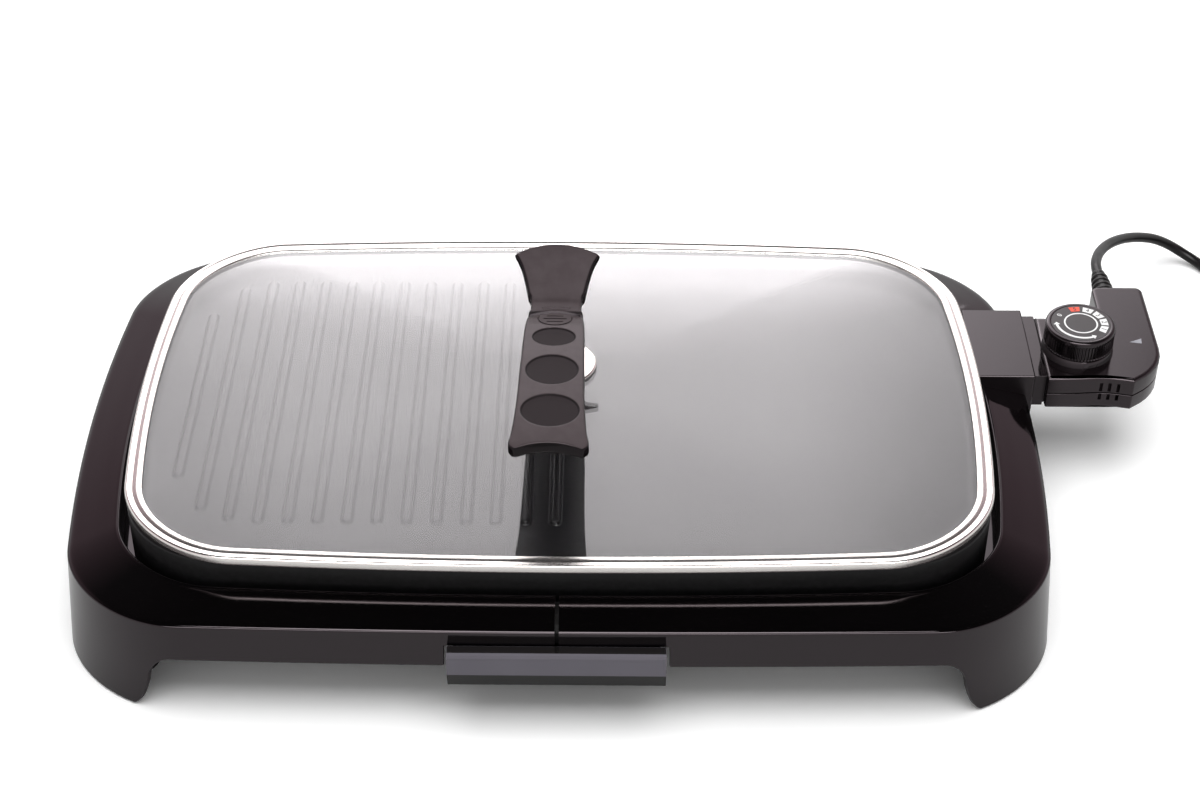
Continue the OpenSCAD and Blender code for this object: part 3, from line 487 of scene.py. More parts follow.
# Wound round in four turns: outside then inside below, inside then outside above, last over the top
def coilPoints():
    angle = np.arange(*cord["wound"])
    outer, inner = cord["turns"]
    low, high, top = cord["layers"]
    goIn, goUp, goOut, goOver = (easeStep(a, a + cord["stepTurn"], angle) for a in cord["steps"])
    radius = outer + (inner - outer) * (goIn - goOut)
    height = low + (high - low) * goUp + (top - high) * goOver
    return np.column_stack([onCircle(radius, angle, cord["coil"]), height])


def makeCord():
    path = smoothLine(np.vstack([cord["route"], coilPoints(), cord["lead"]]), 4)
    shell = gridShell(tube(path, cord["radius"]), capRows=True)
    piece = makePiece("supply_cord", [shell], "controller", "cord_pvc")
    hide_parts("power_cord", "cord_coil", "plug_lead")


makeCord()


# The two halves of the ring base
base = {
    "width": 580, "depth": 365, "corner": 64, "sideBow": 15.5, "frontBow": 5,
    "crestCorner": 50, "crestBow": 16, "crestFrontBow": 8.5,
    "shoulderSide": 28, "shoulderFront": 24,
    "edge": 63, "skirt": 39, "flare": 4.6, "wall": 2.6, "gap": 2.4,
    "lip": (0.35, 0.5, 0.3),  # rounding of the skirt's lower edge: outside, up and inside
    "footX": 243, "footY": 100, "footCurveX": 28, "footCurveY": 22, "footClear": 1,
    "footFall": (0.52, 0.55, 2.8),  # shares of run and height where shoulder meets toe, and the toe's power
    "notch": 62.9, "notchTop": 53.5,
    # what the right side leaves out for the socket: from and to share of the side, height, and end step
    "socketCut": (0.34, 0.9163, 45, 0.0003),
    # the section from the edge up to the crest, as distance in and height over the edge
    "shoulder": [(-0.2, -2.5), (-0.08, -1), (0.02, -0.45), (0.28, -0.05), (0.75, 0.22), (2.4, 1), (8, 2.4),
                 (15, 4.1), (21, 5.5), (24.6, 6.36), (25.8, 6.62), (26.3, 6.8), (26.7, 7), (27.1, 7.08),
                 (27.6, 6.9), (28, 6.2), (28, 4.8), (28, 3.2)],
    # from there down to the ledge and back under the shoulder
    "inside": [(28, -10.5), (40, -10.5), (40, -13), (25.4, -13), (25.4, 3.8), (15, 2.7), (8, 0.6),
               (2.6, -1.6)],
    "bossAt": (241.6, 144.6), "webs": (20, 70),  # the webs' angles
    "boss": [(8.05, 6), (8.05, 3), (9.4, 3), (9.6, 3.4), (9.6, 33), (0, 33), (0, 6)],
    "web": [(8, -1.2), (20.5, -1.2), (20.5, 1.2), (8, 1.2)], "webHeights": (14, 33),
}


# Half an outline, from the front seam round the left side to the back seam, with points closer together
# at the notch, the feet and the socket; and each point's share of the side
def halfOutline(width, depth, corner, bx, by):
    hx, hy = width / 2 - bx, depth / 2 - by
    cx, cy = hx - corner, hy - corner
    run = base["width"] / 2 - base["sideBow"] - base["corner"]
    seam, notch = base["gap"] / 2 / run, base["notch"] / run
    front = np.concatenate([np.linspace(seam, notch, 14), np.linspace(notch + 0.001, 0.99, 30)])
    foot = np.linspace(0.66, 0.888, 34)
    first, last, _, step = base["socketCut"]
    cuts = [first, first + step, last - step, last]
    side = np.sort(np.concatenate([np.linspace(-0.99, 0.99, 46), foot, -foot, cuts]))
    back = np.linspace(0.99, seam, 30)
    turn = np.concatenate([np.linspace(90, 118, 42), np.linspace(120, 180, 26)])
    bend = onCircle(corner, turn, (-cx, cy))
    points = np.vstack([
        np.column_stack([-front * cx, -hy + 0 * front]), bend * [1, -1],
        np.column_stack([-hx + 0 * side, side * cy]), bend[::-1],
        np.column_stack([-back * cx, hy + 0 * back]),
    ])
    share = np.full(len(points), -9.0)  # -9 stands for none
    share[len(front) + len(bend): len(front) + len(bend) + len(side)] = side
    return bow(points, hx, hy, bx, by), share


# Height of the skirt's lower edge: at each foot a round shoulder falls, then curves out to the toe
def lowerEdge(x, y):
    ax, ay = abs(x), abs(y)
    turn, drop, power = base["footFall"]

    def falling(distance, curve):
        u = np.clip(distance / curve + 1, 0, 1)
        shoulder = drop + (1 - drop) * np.sqrt(np.clip(1 - (u / turn) ** 2, 0, 1))
        toe = drop * ((1 - u) / (1 - turn)) ** power
        return np.maximum(base["footClear"], base["skirt"] * np.where(u < turn, shoulder, toe))

    notched = (y < 0) & (ax < base["notch"] + 0.1) & (ay > base["footY"])
    front = (ax < base["footX"]) & (ay > base["footY"] + 10)
    return np.select(
        [notched, front, ay < base["footY"]],
        [base["notchTop"], falling(ax - base["footX"], base["footCurveX"]),
         falling(ay - base["footY"], base["footCurveY"])],
        base["footClear"])


# The shell is a cross-section carried round the outline; the section slopes in to the crest
def halfShell(way):
    outer, share = halfOutline(base["width"], base["depth"], base["corner"], base["sideBow"],
                               base["frontBow"])
    crest, _ = halfOutline(
        base["width"] - 2 * base["shoulderSide"], base["depth"] - 2 * base["shoulderFront"],
        base["crestCorner"], base["crestBow"], base["crestFrontBow"])
    low = lowerEdge(outer[:, 0], outer[:, 1])
    edge, wall, (outLip, upLip, inLip) = base["edge"], base["wall"], base["lip"]
    lean = tan(radians(base["flare"]))
    shoulder, inside = smoothLine(base["shoulder"], 4), base["inside"]
    rows = [(outLip - (edge - low) * lean, low)]  # up the outside
    for z in [low + upLip] + [low + f * (edge + shoulder[0][1] - low) for f in (0.25, 0.5, 0.75)]:
        rows.append((-(edge - z) * lean, z))
    outside = len(rows) + len(shoulder)
    for inwards, up in np.vstack([shoulder, inside]):
        rows.append((inwards + 0 * low, edge + up + 0 * low))
    for f in (0.6, 0.3, 0):  # and down the inside
        z = low + f * (edge + inside[-1][1] - low)
        rows.append((wall - (edge - z) * lean - inLip * (f == 0), z))
    inwards, height = np.swapaxes(rows, 0, 1)
    if way > 0:  # the right side is cut down where the socket stands
        first, last, cutZ, step = base["socketCut"]
        over = (share > first + step / 3) & (share < last - step / 3) & (height > cutZ)
        level = -(edge - cutZ) * lean + wall * (np.arange(len(rows)) >= outside)[:, None]
        inwards, height = np.where(over, level, inwards), np.where(over, cutZ, height)
    place = outer + (crest - outer) * (inwards / base["shoulderSide"])[..., None]
    grid = np.concatenate([place, height[..., None]], -1)
    grid[..., 0] *= -way
    return gridShell(grid, joinRows=True, joinColumns=False, capColumns=True)


# Bosses for the rubber pads, tied to the foot's wall by two webs
def footBosses(way):
    shells = []
    for s in (-1, 1):
        at = np.array(base["bossAt"]) * [way, s]
        shells.append(gridShell(turned(base["boss"], (*at, 0), 48)))
        for spoke in base["webs"]:
            ahead, aside = onCircle(1, [spoke, spoke + 90])
            box = np.array([ahead * r + aside * w for r, w in base["web"]])
            web = [atHeight(at + box * [way, s], z) for z in base["webHeights"]]
            shells.append(gridShell(web, capRows=True))
    return shells


for side, way in (("left", -1), ("right", 1)):
    shell = makePiece("base_shell_" + side, [halfShell(way)] + footBosses(way), "base", "gloss_black", 28)
    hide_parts("base_" + side)
print("base shells made")


# The plate: one tray-like casting with ribs
plate = {
    "width": 510, "depth": 312, "corner": 46, "sideBow": 14, "frontBow": 8.5, "steps": 22,
    "under": 74.8, "floor": 79.8, "top": 87,
    "drain": (6.2, -22), "drainRadius": 4.5,
    # the wall's section, as distance in and height from the top: up the outside, over, down to the floor
    "wall": [(3.2, -12.2), (3.2, -33.7), (0.6, -33.7), (0, -33.1), (0, -20), (0, -1.3), (0.15, -0.7),
             (0.5, -0.25), (1.1, 0), (2.4, 0), (3.6, 0), (4.4, -0.25), (5.2, -1), (6.4, -2.7), (7.6, -4.5),
             (8.8, -5.8), (10.2, -6.7), (12, -7.1), (14, -7.2)],
    "funnel": [(2, 0), (1.2, 0.06), (0.5, 0.3), (0.1, 0.7), (0, 1.2)],  # the drain's rounded mouth
    "ribs": 14, "ribPitch": 17.06, "ribFirst": -2, "ribFront": -112.8, "ribBack": 124,
    "ribHalf": 3, "ribHeight": 2.5, "ribCorners": (47, 44),  # radii that shorten the ribs, front and back
    "ribReach": 224.4,  # and how far out they leave the ribs whole
    "ribEnd": 15,  # points round each end
    # distance from the rib's middle line, and depth under its top
    "ribSection": [(0, 0), (1.2, 0.03), (1.9, 0.14), (2.35, 0.42), (2.62, 0.85), (2.85, 1.5), (3.1, 2),
                   (3.5, 2.32), (4.2, 2.49), (4.2, 3), (0, 3)],
}


# Rings that pass from an outline to a circle, point by point
def towardsCircle(ring, centre, radius, share):
    away = ring - np.array(centre)
    circle = np.array(centre) + radius * away / np.linalg.norm(away, axis=1)[:, None]
    return ring + (circle - ring) * share


def plateShell():
    floor, hole, bore = plate["floor"], plate["drain"], plate["drainRadius"]
    edge, inside = outline(plate, plate["wall"][0][0]), outline(plate, plate["wall"][-1][0])
    mouth = bore + plate["funnel"][0][0]
    rings = [atHeight(towardsCircle(edge, hole, bore, share), plate["under"])
             for share in (1, 0.9, 0.6, 0.3)]
    rings += [atHeight(outline(plate, inset), plate["top"] + up) for inset, up in plate["wall"]]
    for share in np.linspace(0.08, 0.96, 9):
        rings.append(atHeight(towardsCircle(inside, hole, mouth, share), floor))
    for wide, deep in plate["funnel"]:
        rings.append(atHeight(towardsCircle(inside, hole, bore + wide, 1), floor - deep))
    return gridShell(rings, joinRows=True)


# A rib is rings at growing distance from a straight core; its height falls with the distance
def ribShell(x):
    cuts = [r - (r * r - max(0, abs(x) - plate["ribReach"] + r) ** 2) ** 0.5 for r in plate["ribCorners"]]
    y0 = plate["ribFront"] + cuts[0] + plate["ribHalf"]
    y1 = plate["ribBack"] - cuts[1] - plate["ribHalf"]
    top = plate["floor"] + plate["ribHeight"]
    around = plate["ribEnd"]
    ways = onCircle(1, np.concatenate([np.linspace(0, 180, around), np.linspace(180, 360, around)]))
    core = np.column_stack([np.full(2 * around, x), np.repeat([y1, y0], around)])
    return gridShell([atHeight(core + ways * away, top - deep) for away, deep in plate["ribSection"]])


ribPlaces = [plate["ribFirst"] - i * plate["ribPitch"] for i in range(plate["ribs"])]
ribbedPlate = makePiece("ribbed_plate", [plateShell()] + [ribShell(x) for x in ribPlaces], "base",
                        "plate_coating", 40)
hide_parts("cooking_plate")
print("plate made")


# The lid: a domed pane in a steel band
lid = {
    "width": 511.6, "depth": 319, "corner": 60, "sideBow": 12.6, "frontBow": 8.9, "steps": 26,
    "rim": 9.5, "glass": 87.7, "thick": 3.4, "dome": 6.5, "seat": 0.2,
    "post": (-2.21, 18.0), "hole": 4,
    "paneEdge": [(4, 0), (1.3, 0), (0.9, 0.4), (0.7, 1.1), (0.7, 2.3), (0.9, 3), (1.3, 3.4), (4, 3.4)],
    # the band's section over the glass and back under it, as distance in and height
    "over": [(0.35, 87.1), (0.05, 87.7), (0, 88.6), (0, 90.2), (0.1, 91.1), (0.5, 91.8), (1.3, 92.2),
             (2.3, 92.1), (3.4, 91.7), (4.4, 91.62), (5.4, 91.85), (6.6, 92.05), (7.8, 91.98), (8.8, 91.75),
             (9.35, 91.45), (9.5, 91.15)],
    "back": [(9, 91.1), (1, 91.1), (0.6, 90.1), (0.6, 88.4), (1, 87.65), (7.5, 87.65), (8, 87.2), (7.6, 87),
             (1, 86.98)],
}


# The glass rises from its edge as one less the square of the distance out, and is flat in the middle
def glassShell():
    inner = outline(lid, lid["rim"] + 0.5)
    shares = np.concatenate([[1, 0.985, 0.965], np.linspace(0.94, lid["seat"], 22)])
    low, thick, seat = lid["glass"], lid["thick"], lid["seat"]

    def domed(share, up):
        return atHeight(inner * share, low + up + lid["dome"] * (1 - share**2))

    def hole(share, up):
        ring = towardsCircle(inner * seat, lid["post"], lid["hole"], share)
        return atHeight(ring, low + up + lid["dome"] * (1 - seat**2))

    rings = [hole(1, 0), hole(0.6, 0)] + [domed(share, 0) for share in shares[::-1]]
    rings += [atHeight(outline(lid, inset), low + up) for inset, up in lid["paneEdge"]]
    rings += [domed(share, thick) for share in shares] + [hole(0.6, thick), hole(1, thick)]
    return gridShell(rings, joinRows=True)


lidPane = makePiece("lid_pane", [glassShell()], "lid", "lid_glass", 60)
lidPane.visible_shadow = False  # so that the light reaches the plate
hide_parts("lid_glass")


# The steel band: its section is carried round the edge of the glass
def rimShell():
    section = np.vstack([smoothLine(lid["over"], 3), lid["back"]])
    return gridShell([atHeight(outline(lid, inset), z) for inset, z in section], joinRows=True)


rimBand = makePiece("rim_band", [rimShell()], "lid", "rim_steel", 40)
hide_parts("lid_rim")

handle = {
    "left": 4, "turn": 0.6, "front": -122.8, "rear": 49,
    "frontArc": (40, -118.2), "rearArc": (62.8, -8.3),  # the ends' curves: radius and its middle
    # place along the grip, and half width there
    "widths": [(-122.8, 17.6), (-122.6, 18.6), (-122.0, 20.0), (-121, 21.2), (-119.5, 22.2), (-117.5, 22.5),
               (-115, 22.1), (-112, 21.6), (-105, 20.7), (-84, 19.4), (-50, 18.6), (-16, 17.9), (0, 16.8),
               (9, 16.3), (11.5, 16.0), (13, 15.2), (22, 15.6), (25, 16.8), (33, 18.9), (42, 22), (49, 25.7),
               (60, 31)],
    # and the heights of its top and of its underside
    "over": [(-130, 146.2), (-100, 149.1), (-80, 150), (-60, 150.2), (-40, 149.7), (-22, 148.6), (-10, 147.5),
             (-5, 146.6), (0, 145.5), (4, 144.4), (7, 143.2), (9.2, 142.1), (10.3, 140.6), (11.2, 139),
             (12.2, 138.6), (13.2, 139.6), (14.2, 140.7), (16, 141), (19, 141), (23, 141.5), (27, 143.8),
             (36, 149.7), (49, 158.4), (60, 165)],
    "under": [(-130, 139), (-100, 139.9), (-80, 140.5), (-60, 140.3), (-36, 138.9), (-14, 135), (0, 135),
              (14, 135), (28, 135), (30, 135.3), (36, 141.6), (49, 153.2), (60, 160)],
    "dishes": [(-22, 12.8, 9.8), (-55.3, 15.4, 14.2), (-91.8, 16.8, 13.8)],  # place, half width, half length
    "dishDepth": 0.9, "dishWall": (0.945, 1.01),  # its wall as shares of the way out
    "crown": 0.5,  # how much lower the top is at its edges
    "edge": 1.6, "endEdge": 1.3,  # rounding of the long edges and of the ends
    "capSeat": (144.45, 0.2867, 9.5, 10.5),  # the sunk flat round the cap: height, fall, radii of its wall
    "strip": (16.5, 0.9, 8.6, 0.55),  # the raised bar on the neck: place, half length, half width, height
    "groove": (9.6, 14.0),  # the groove across the neck, in front of the flap, where painted shade darkens the top
    "neckBow": (80, 0, 6, 14, 20),  # how flat the neck's bow is, and where it comes and goes
}


# Brings a shape from the handle's own frame to its turn on the screw
def onHandle(points):
    a = radians(-handle["turn"])
    turn = np.array([[cos(a), -sin(a), 0], [sin(a), cos(a), 0], [0, 0, 1]])
    return points @ turn.T + np.array([-handle["left"], 0, 0])


# The handle is a loop of points across it, carried from its front end to its rear end
def handleShell():
    front, rear, r, soft = (handle[k] for k in ("front", "rear", "edge", "endEdge"))
    rows = np.concatenate([  # closer together at both ends and over the neck
        front + np.array([0, 0.1, 0.25, 0.45, 0.7, 1.0, 1.4, 1.9, 2.5, 3.2, 4, 4.9, 5.8]),
        np.arange(-116.4, -6, 0.6), np.arange(-6, 16, 0.25), np.arange(16, 47, 0.8),
        rear - np.array([1.3, 0.75, 0.35, 0.12, 0])])
    widths, over, under = (smoothLine(handle[k], n) for k, n in (("widths", 6), ("over", 5), ("under", 4)))
    half = np.interp(rows, widths[:, 0], widths[:, 1])[:, None]
    # round the loop: the top, over the right edge and under, the underside, and up over the left edge
    topX, below = np.linspace(-1, 1, 91), np.linspace(1, -1, 9)
    bend = np.radians([15, 30, 45, 60, 75, 90, 90, 75, 60, 45, 30, 15])
    share = np.concatenate([topX, 1 + 0 * bend, below, -1 + 0 * bend])
    out = np.concatenate([0 * topX, np.sin(bend), 0 * below, -np.sin(bend)])
    drop = np.concatenate([0 * topX, 1 - np.cos(bend), 0 * below, 1 - np.cos(bend)])
    n = len(bend) // 2
    isTop = np.repeat([1, 0, 1], [len(topX) + n, n + len(below) + n, n])
    x = share * (half - r) + out * r
    radius, centre = handle["frontArc"]
    frontEnd = np.maximum(front, centre - radius + np.sqrt(radius**2 - x**2))
    radius, centre = handle["rearArc"]
    rearEnd = centre + np.sqrt(radius**2 - x**2)
    y = frontEnd + (rearEnd - frontEnd) * ((rows - front) / (rear - front))[:, None]
    # the neck's steps are bowed across the grip; a dish has a steep wall and is deepest in its middle
    flat, comes, full, fades, gone = handle["neckBow"]
    bent = y + x**2 / flat * easeStep(comes, full, y) * (1 - easeStep(fades, gone, y))
    top = np.interp(bent, over[:, 0], over[:, 1]) - handle["crown"] * (x / half) ** 2
    for place, wide, long in handle["dishes"]:
        away = np.hypot(x / wide, (y - place) / long)
        top = top - handle["dishDepth"] * (1 - easeStep(*handle["dishWall"], away)) * (1.15 - 0.4 * away**2)
    high, fall, first, last = handle["capSeat"]
    top = top + (np.minimum(high - fall * y, top) - top) * (1 - easeStep(first, last, np.hypot(x, y)))
    place, long, wide, high = handle["strip"]
    top = top + high * easeStep(0, 0.5, long - abs(y - place)) * easeStep(0, 0.5, wide - abs(x))
    ends = np.clip(np.minimum(y - frontEnd, rearEnd - y), 0, soft)
    rounding = drop * r + soft - np.sqrt(soft**2 - (soft - ends) ** 2)
    bottom = np.interp(y, under[:, 0], under[:, 1])
    return onHandle(np.stack([x, y, np.where(isTop, top - rounding, bottom + rounding)], -1))


# Lid handle: satin on top and painted lighter there as painted light, polished near black on its sides and
# ends, darker in the thumb dishes, with a painted shadow round each dish and painted shade in the neck's
# groove
def handleFinish():
    sheet = newSheet("handleSatin")
    # faces looking up: satin in finish, and also painted lighter as painted light from above
    satinAndPaintedLight = sheet.between(sheet.part(sheet.facing(), "Z"), 0.55, 0.85)
    x, y = (sheet.part(sheet.coordinates(), axis) for axis in "XY")
    nearest = 9.0  # distance from the middle of a dish over its half width
    for along, wide, long in handle["dishes"]:
        middleX, middleY, _ = toFrame(onHandle(np.array([0, along, 0]))).tolist()
        across, lengthways = (x - middleX) / (wide / 1000), (y - middleY) / (long / 1000)
        away = (across * across + lengthways * lengthways) ** 0.5
        nearest = away.calc("MINIMUM", away, nearest)
    dish = 1 - sheet.between(nearest, 0.95, 0.99)
    # painted shadow: a dark ring round the edge of each dish, where its wall casts shade
    paintedDishShadow = sheet.between(nearest, 0.92, 0.96) * (1 - sheet.between(nearest, 0.985, 1.01))
    # painted shade: the top is darkened across the neck's groove, where the step throws shade
    start, end = ((place - middle[1]) / 1000 for place in handle["groove"])
    groove = sheet.between(y, start, start + 0.0012) * (1 - sheet.between(y, end - 0.0012, end))
    patches, worn = sheet.noise(26, 3), sheet.noise(6, 4)
    # near black: the sides' own colour, and also the painted shade in the groove and the painted shadow round
    # the dishes
    blackAndPaintedShade = shade(0.003, 0.0025, 0.0026)
    # the top's lighter brown is painted light; the sides keep the near black
    tint = sheet.mix(sheet.between(patches * 0.6 + worn * 0.4, 0.36, 0.64), shade(0.038, 0.029, 0.0305),
                     shade(0.048, 0.038, 0.04))
    tint = sheet.mix(dish * 0.9, tint, shade(0.006, 0.0038, 0.0042))
    tint = sheet.mix(groove * 0.85, sheet.mix(paintedDishShadow * 0.9, tint, blackAndPaintedShade), blackAndPaintedShade)
    uneven = (patches + worn - 1) * 0.06
    return sheet.surface({
        "Base Color": sheet.mix(satinAndPaintedLight, blackAndPaintedShade, tint),
        "Roughness": 0.10 + satinAndPaintedLight * (0.32 + dish * 0.22 + groove * 0.3 + uneven),
        "Specular IOR Level": 0.2,
        "Specular Tint": warmGloss,
        "Normal": sheet.bump(sheet.noise(0.7, 3) * satinAndPaintedLight, 0.035),
    })


finishes["handle_plastic"] = handleFinish()
grip = makePiece("lid_grip", [gridShell(handleShell(), capRows=True)], "lid", "handle_plastic", 50)
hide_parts("lid_handle")
print("lid made")


# The plug-in controller
control = {
    "low": 54, "parting": 65.5, "high": 77,
    # the outline, from the back of the left side round by the front: lines, and between them bends as
    # (radius, centre, from and to angle, points)
    "leftLine": [(302, 97.5), (302, 60), (302, 33.8)],
    "frontBend": (0.8, (302.8, 33.8), 190, 260, 4),
    "frontLine": [(312, 33), (322, 33.4), (332, 34.2), (340, 34.1), (348, 32.9), (354.4, 31.5)],
    "cornerBend": (1.6, (354.9, 33), -80, -52, 4),
    "cornerLine": [(359.2, 34.2), (363.6, 37.6), (367.6, 41.7), (371.2, 46.6), (374.2, 52.2), (376.2, 58.6)],
    "rightLine": [(377, 66), (377, 90)],
    "armBends": [(5, (372, 127), 0, 90, 9), (4.5, (348.5, 127.5), 90, 180, 9), (6, (338, 103.5), 0, -90, 9)],
    "lowRounding": 1.8, "highRounding": 1.9,
    "lip": 0.35, "closed": 3,  # rounding at the parting line, and how far in the flat ends of a shell begin
    # the lower shell steps in under the parting line and leaves a groove: distance in, and height from it
    "groove": [(0, -0.75), (0.35, -0.45), (0.7, -0.4), (0.7, 0), (3, 0)],
    "vents": (3, 334.8, 5.3, 2, 28, 38),  # count, place, pitch, width, and from front to back
    "ventsUp": (1, 7.5), "ventsDown": (-5.5, -1),  # from the parting line
    "pointer": [(358.9, 71.5), (366.5, 70.2), (367, 75.4)],
    "pointerHeights": (-0.05, 0.1),  # from the top
    "boot": (355, 124, 66),
    # the boot's profile as radius and distance out, and one of its rings
    "bootStart": [(0, 0), (6.6, 0), (6.6, 2.9), (5, 3.1), (5, 5.4), (7.1, 5.7), (7.4, 7), (7.3, 12.2)],
    "bootRing": [(6.8, 13), (7.25, 13.5), (7.35, 14.2), (7.25, 15.8), (6.9, 16.3), (5.5, 16.5), (5.4, 17.7),
                 (6.1, 18.2)],
    "bootRings": 4, "bootStep": (-0.55, 5.4),  # from ring to ring
    "bootEnd": [(4.6, 35.8), (4.3, 37.3), (3.9, 38), (0, 38)],
}


# Moves an outline inwards, each point along the middle of its two sides' normals
def insetOutline(points, distance):
    step = np.roll(points, -1, axis=0) - points
    normal = np.column_stack([step[:, 1], -step[:, 0]]) / np.linalg.norm(step, axis=1)[:, None]
    mean = normal + np.roll(normal, 1, axis=0)
    mean /= (mean**2).sum(1)[:, None] / 2
    return points - mean * distance


def bendPoints(radius, centre, start, end, count):
    return onCircle(radius, np.linspace(start, end, count), centre)


def controlOutline():
    parts = [control["leftLine"], bendPoints(*control["frontBend"]), control["frontLine"],
             bendPoints(*control["cornerBend"]), control["cornerLine"], control["rightLine"]]
    return np.vstack(parts + [bendPoints(*bend) for bend in control["armBends"]])


# A shell is the outline at levels of (distance in, height), with vents cut in its front wall
def controlShell(name, levels, vents):
    outer = controlOutline()
    rings = [atHeight(insetOutline(outer, inset), z) for inset, z in levels]
    piece = makePiece(name, [gridShell(rings, capRows=True)], "controller", "controller_plastic", 40)
    count, first, pitch, width, front, back = control["vents"]
    low, high = (control["parting"] + z for z in vents)
    slots = [block((x, front, low), (x + width, back, high)) for x in first + pitch * np.arange(count)]
    cutter = makePiece("vent_cutter", slots, "controller", "controller_plastic", 32, finishes["inner_black"])
    settle(piece.modifiers.new("vents", "BOOLEAN"), operation="DIFFERENCE", solver="EXACT", object=cutter)
    ready = finishedMesh(piece)
    piece.modifiers.clear()
    ready.set_sharp_from_angle(angle=radians(40))
    piece.data = ready
    bpy.data.objects.remove(cutter)
    return piece


def roundedLevels(height, radius, upwards):
    a = np.radians(np.linspace(0, 90, 8))
    return [(radius * (1 - cos(t)), height + radius * (sin(t) - 1) * upwards) for t in a]


def makeControlShells():
    low, parting, high, lip, closed = (control[k] for k in ("low", "parting", "high", "lip", "closed"))
    levels = [(closed, parting), (lip, parting), (0, parting + lip)]
    levels += roundedLevels(high, control["highRounding"], 1) + [(closed, high)]
    controlTop = controlShell("control_top", levels, control["ventsUp"])
    levels = [(closed, low)] + roundedLevels(low, control["lowRounding"], -1)[::-1]
    levels += [(inset, parting + up) for inset, up in control["groove"]]
    controlBottom = controlShell("control_bottom", levels, control["ventsDown"])
    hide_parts("controller_top")
    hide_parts("controller_bottom")


makeControlShells()


# The cord's boot: rings with grooves between, tapering towards the cord
def reliefShell():
    ring, step = np.array(control["bootRing"]), np.array(control["bootStep"])
    rings = [ring + i * step for i in range(control["bootRings"])]
    spun = turned(np.vstack([control["bootStart"], *rings, control["bootEnd"]]), sides=64)
    laid = np.stack([spun[..., 0], spun[..., 2], -spun[..., 1]], -1)
    return gridShell(laid + np.array(control["boot"]))


relief = makePiece("cord_boot", [reliefShell()], "controller", "cord_pvc", 40)
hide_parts("strain_relief")


# The knob and the dial on it
knob = {
    "at": (324.5, 65), "radius": 21.9, "low": 81.8, "height": 14.8,
    "ribs": 66, "ribDepth": 0.75,
    "recess": 18.9,  # radius of the sunk middle that holds the dial
}


# Its turned profile's side swells and sinks round it as ribs
def knobShell():
    r, h, recess = knob["radius"], knob["height"], knob["recess"]
    angle = np.arange(knob["ribs"] * 8) * 360 / (knob["ribs"] * 8)
    wave = 0.5 + 0.5 * np.cos(np.radians(angle * knob["ribs"]))
    sunk = knob["ribDepth"] * (1 - easeStep(0.3, 0.7, wave))
    # radius, height, and 1 where the ribs are
    profile = [(0, 0, 0), (r - 0.6, 0, 0), (r, 0.5, 0), (r, 1.4, 0), (r - 0.1, 1.7, 1), (r - 0.15, 2.2, 1),
               (r - 0.15, 6, 1), (r - 0.15, h - 4.2, 1), (r - 0.1, h - 3.7, 1), (r, h - 3.4, 0),
               (r, h - 1.4, 0), (r - 0.25, h - 0.7, 0), (r - 0.9, h - 0.2, 0), (r - 1.7, h, 0), (recess, h, 0),
               (recess - 0.3, h - 0.1, 0), (recess - 0.35, h - 0.5, 0), (0, h - 0.5, 0)]
    at, low = knob["at"], knob["low"]
    return gridShell([atHeight(onCircle(radius - sunk * ribbed, angle, at), low + up)
                      for radius, up, ribbed in profile])


ribbedKnob = makePiece("ribbed_knob", [knobShell()], "knob", "knob_plastic", 40)
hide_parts("knob")

dial = {
    "ring": (9.6, 10.6),
    "blocks": [(97, "5"), (65, "4"), (35, "3"), (4.5, "2"), (-25, "1"), (146, "0")],  # angle, number
    "block": (12.4, 16.9, 2.7, 3.6),  # inner and outer radius, half widths there
    "arrow": (14.6, 16.2, 176, 300),  # inner and outer radius, and from angle to angle
    "tip": (9, 1.3),  # its points' length in degrees, and how far they stand out
    "thick": 0.12, "sunk": 0.05,
    "numberHeight": 4.6, "numberThick": 0.06, "numberLift": 0.03,
}
dialTop = knob["low"] + knob["height"]


# A thin flat mark on the dial: two rings of points, one above the other
def markShell(points):
    points = points + np.array(knob["at"])
    heights = (dialTop - dial["sunk"], dialTop + dial["thick"])
    return gridShell([atHeight(points, z) for z in heights], capRows=True)


def blockMark(angle):
    r0, r1, w0, w1 = dial["block"]
    ahead, aside = onCircle(1, [angle, angle + 90])
    corners = (r0, -w0), (r1, -w1), (r1, w1), (r0, w0)
    return markShell(np.array([ahead * r + aside * w for r, w in corners]))


def ringMark():
    inner, outer = dial["ring"]
    low, high = -dial["sunk"], dial["thick"]
    section = [(inner, low), (inner, high), (outer, high), (outer, low)]
    return gridShell(turned(section, (*knob["at"], dialTop), 96), joinRows=True)


# A curved band with a point at each end
def arrowMark():
    r0, r1, start, end = dial["arrow"]
    long, wide = dial["tip"]
    first, last, mid = start + long, end - long, (r0 + r1) / 2
    band = np.linspace(first, last, 40)
    return markShell(np.vstack([
        onCircle(r1, band), onCircle([r1 + wide, mid, r0 - wide], [last, end, last]),
        onCircle(r0, band[::-1]), onCircle([r0 - wide, mid, r1 + wide], [first, start, first])]))


# the first block is red, and the 0 has no block
whiteBlocks = [blockMark(angle) for angle, _ in dial["blocks"][1:-1]]
whiteMarks = whiteBlocks + [ringMark(), arrowMark()]
makePiece("dial_white_marks", whiteMarks, "knob", "pointer_grey", finish=dialWhite)
makePiece("dial_red_mark", [blockMark(dial["blocks"][0][0])], "knob", "pointer_grey", finish=dialRed)


